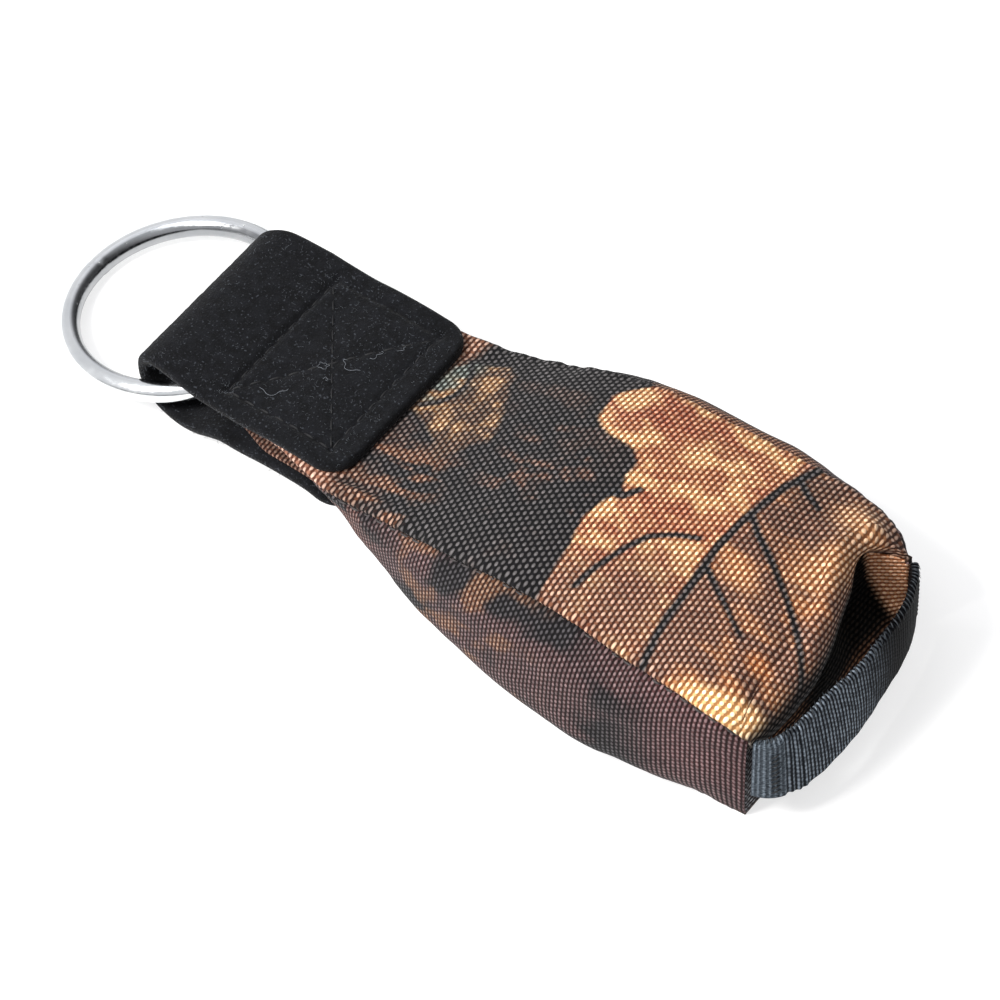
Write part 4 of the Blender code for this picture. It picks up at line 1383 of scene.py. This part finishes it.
def build_seams():
    thread = plain_thread("seam_thread", (0.035, 0.03, 0.03))
    pieces = []
    for face, top in (("front", True), ("back", False)):
        for word, side in (("left", -1), ("right", 1)):
            node = f"seam_thread_{face}_{word}"
            pieces.append((node, seam_stitches(node + "_stitches", top, side, thread)))
    for node, z in (("base_thread_front", 20.2), ("base_thread_back", 0.6)):
        pieces.append((node, base_stitches(node + "_stitches", z, thread)))
    for node, piece in pieces:
        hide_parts(node)
        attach(piece, "bag")


def build_pouch():
    inner = cotton("pouch_cotton")
    for word, side in (("front", 1), ("back", -1)):
        piece = pouch_half(f"pouch_{word}_cotton", side, inner)
        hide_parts(f"pouch_{word}")
        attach(piece, "bag")
    piece = pouch_seam(plain_thread("white_thread", (0.6, 0.6, 0.57)))
    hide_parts("pouch_thread")
    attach(piece, "bag")
    pellets = granules("granules")
    for slot in frame["nodes"]["pellet_fill"].material_slots:
        slot.material = pellets


def build():
    thread = plain_thread("black_thread", (0.0035, 0.0036, 0.0045))
    front, back = build_bag()
    build_strap(thread)
    build_ring()
    build_handle(thread)
    build_seams()
    build_pouch()


# ---------------------------------------------------------------- floor, light and camera

def floor():
    n = material("white_floor")
    tone = n.ramp(n.noise(3.0, 2.0), 0.3, 0.7, 0.88, 0.9)
    mat = n.set(colour=n.grey(n.mul(tone, 0.5)), roughness=0.9, specular=0.1,
                glow=(1.0, 1.0, 1.0), glow_strength=0.66)
    size = 6.0
    mesh = bpy.data.meshes.new("floor")
    corners = [(-size, -size, 0), (size, -size, 0), (size, size, 0), (-size, size, 0)]
    mesh.from_pydata(corners, [], [(0, 1, 2, 3)])
    mesh.materials.append(mat)
    obj = bpy.data.objects.new("floor", mesh)
    obj.location.z = -0.0001
    bpy.context.scene.collection.objects.link(obj)


def surroundings():
    """Light from all round in soft bands: weaker on one side, dark low down except towards the strap."""
    data = bpy.data.worlds.new("studio")
    bpy.context.scene.world = data
    n = Nodes(data)
    place = n.tree.nodes.new("ShaderNodeTexCoord").outputs["Generated"]
    split = n.tree.nodes.new("ShaderNodeSeparateXYZ")
    n.put(split.inputs[0], place)
    bands = n.tree.nodes.new("ShaderNodeValToRGB")
    stops = bands.color_ramp.elements
    stops[0].position, stops[0].color = 0.0, (0.8, 0.8, 0.8, 1)
    stops[1].position, stops[1].color = 1.0, (0.9, 0.92, 0.95, 1)
    for position, level in ((0.20, 0.90), (0.34, 0.80), (0.62, 0.74), (0.78, 0.92)):
        stops.new(position).color = (level, level, level * 1.03, 1)
    n.put(bands.inputs[0], split.outputs[2])
    lean = n.tree.nodes.new("ShaderNodeVectorMath")
    lean.operation = "DOT_PRODUCT"
    n.put(lean.inputs[0], place)
    lean.inputs[1].default_value = (-0.75, -0.65, 0.1)
    dim = n.mix(1.0, bands.outputs[0], n.ramp(lean.outputs["Value"], -0.7, 0.10, 0.22, 1.38), "MULTIPLY")
    low = n.ramp(split.outputs[2], 0.14, 0.34, 1.0, 0.0)
    aside = n.ramp(split.outputs[0], -0.8, -0.45, 0.0, 0.7)
    back = n.tree.nodes["Background"]
    n.put(back.inputs["Color"], n.mix(n.mul(low, aside), dim, (0.05, 0.055, 0.06)))
    back.inputs["Strength"].default_value = 0.68


def aim(obj, place, direction):
    """Put a lamp or the camera in its place, looking along a direction."""
    obj.location = place
    obj.rotation_mode = "QUATERNION"
    obj.rotation_quaternion = direction.to_track_quat("-Z", "Y")
    bpy.context.scene.collection.objects.link(obj)


def area(name, place, size, power, colour):
    """Square lamp that shines at the middle of the floor."""
    data = bpy.data.lights.new(name, "AREA")
    data.shape = "RECTANGLE"
    data.size, data.size_y = size, size
    data.energy = power
    data.color = colour
    aim(bpy.data.objects.new(name, data), place, -Vector(place))


def camera():
    azimuth, elevation = math.radians(37.43), math.radians(53.57)
    distance, scale, sensor = 1.3327, 5.68, 36.0
    target = Vector(world([[69.57, -2.82, 12.0]])[0])
    level = math.cos(elevation)
    back = Vector((math.sin(azimuth) * level, -math.cos(azimuth) * level, math.sin(elevation)))
    data = bpy.data.cameras.new("camera")
    data.sensor_width = sensor
    data.lens = scale * distance * sensor
    data.clip_start, data.clip_end = 0.01, 20.0
    obj = bpy.data.objects.new("camera", data)
    aim(obj, target + back * distance, -back)
    bpy.context.scene.camera = obj


build()
floor()
surroundings()
area("key", (-0.36, -0.70, 1.0), 0.34, 20.5, (1.0, 0.985, 0.96))
area("soft", (-0.38, -0.42, 1.3), 0.8, 4.5, (0.97, 0.98, 1.0))
camera()
view = bpy.context.scene.view_settings
view.view_transform = "Standard"
view.look = "None"
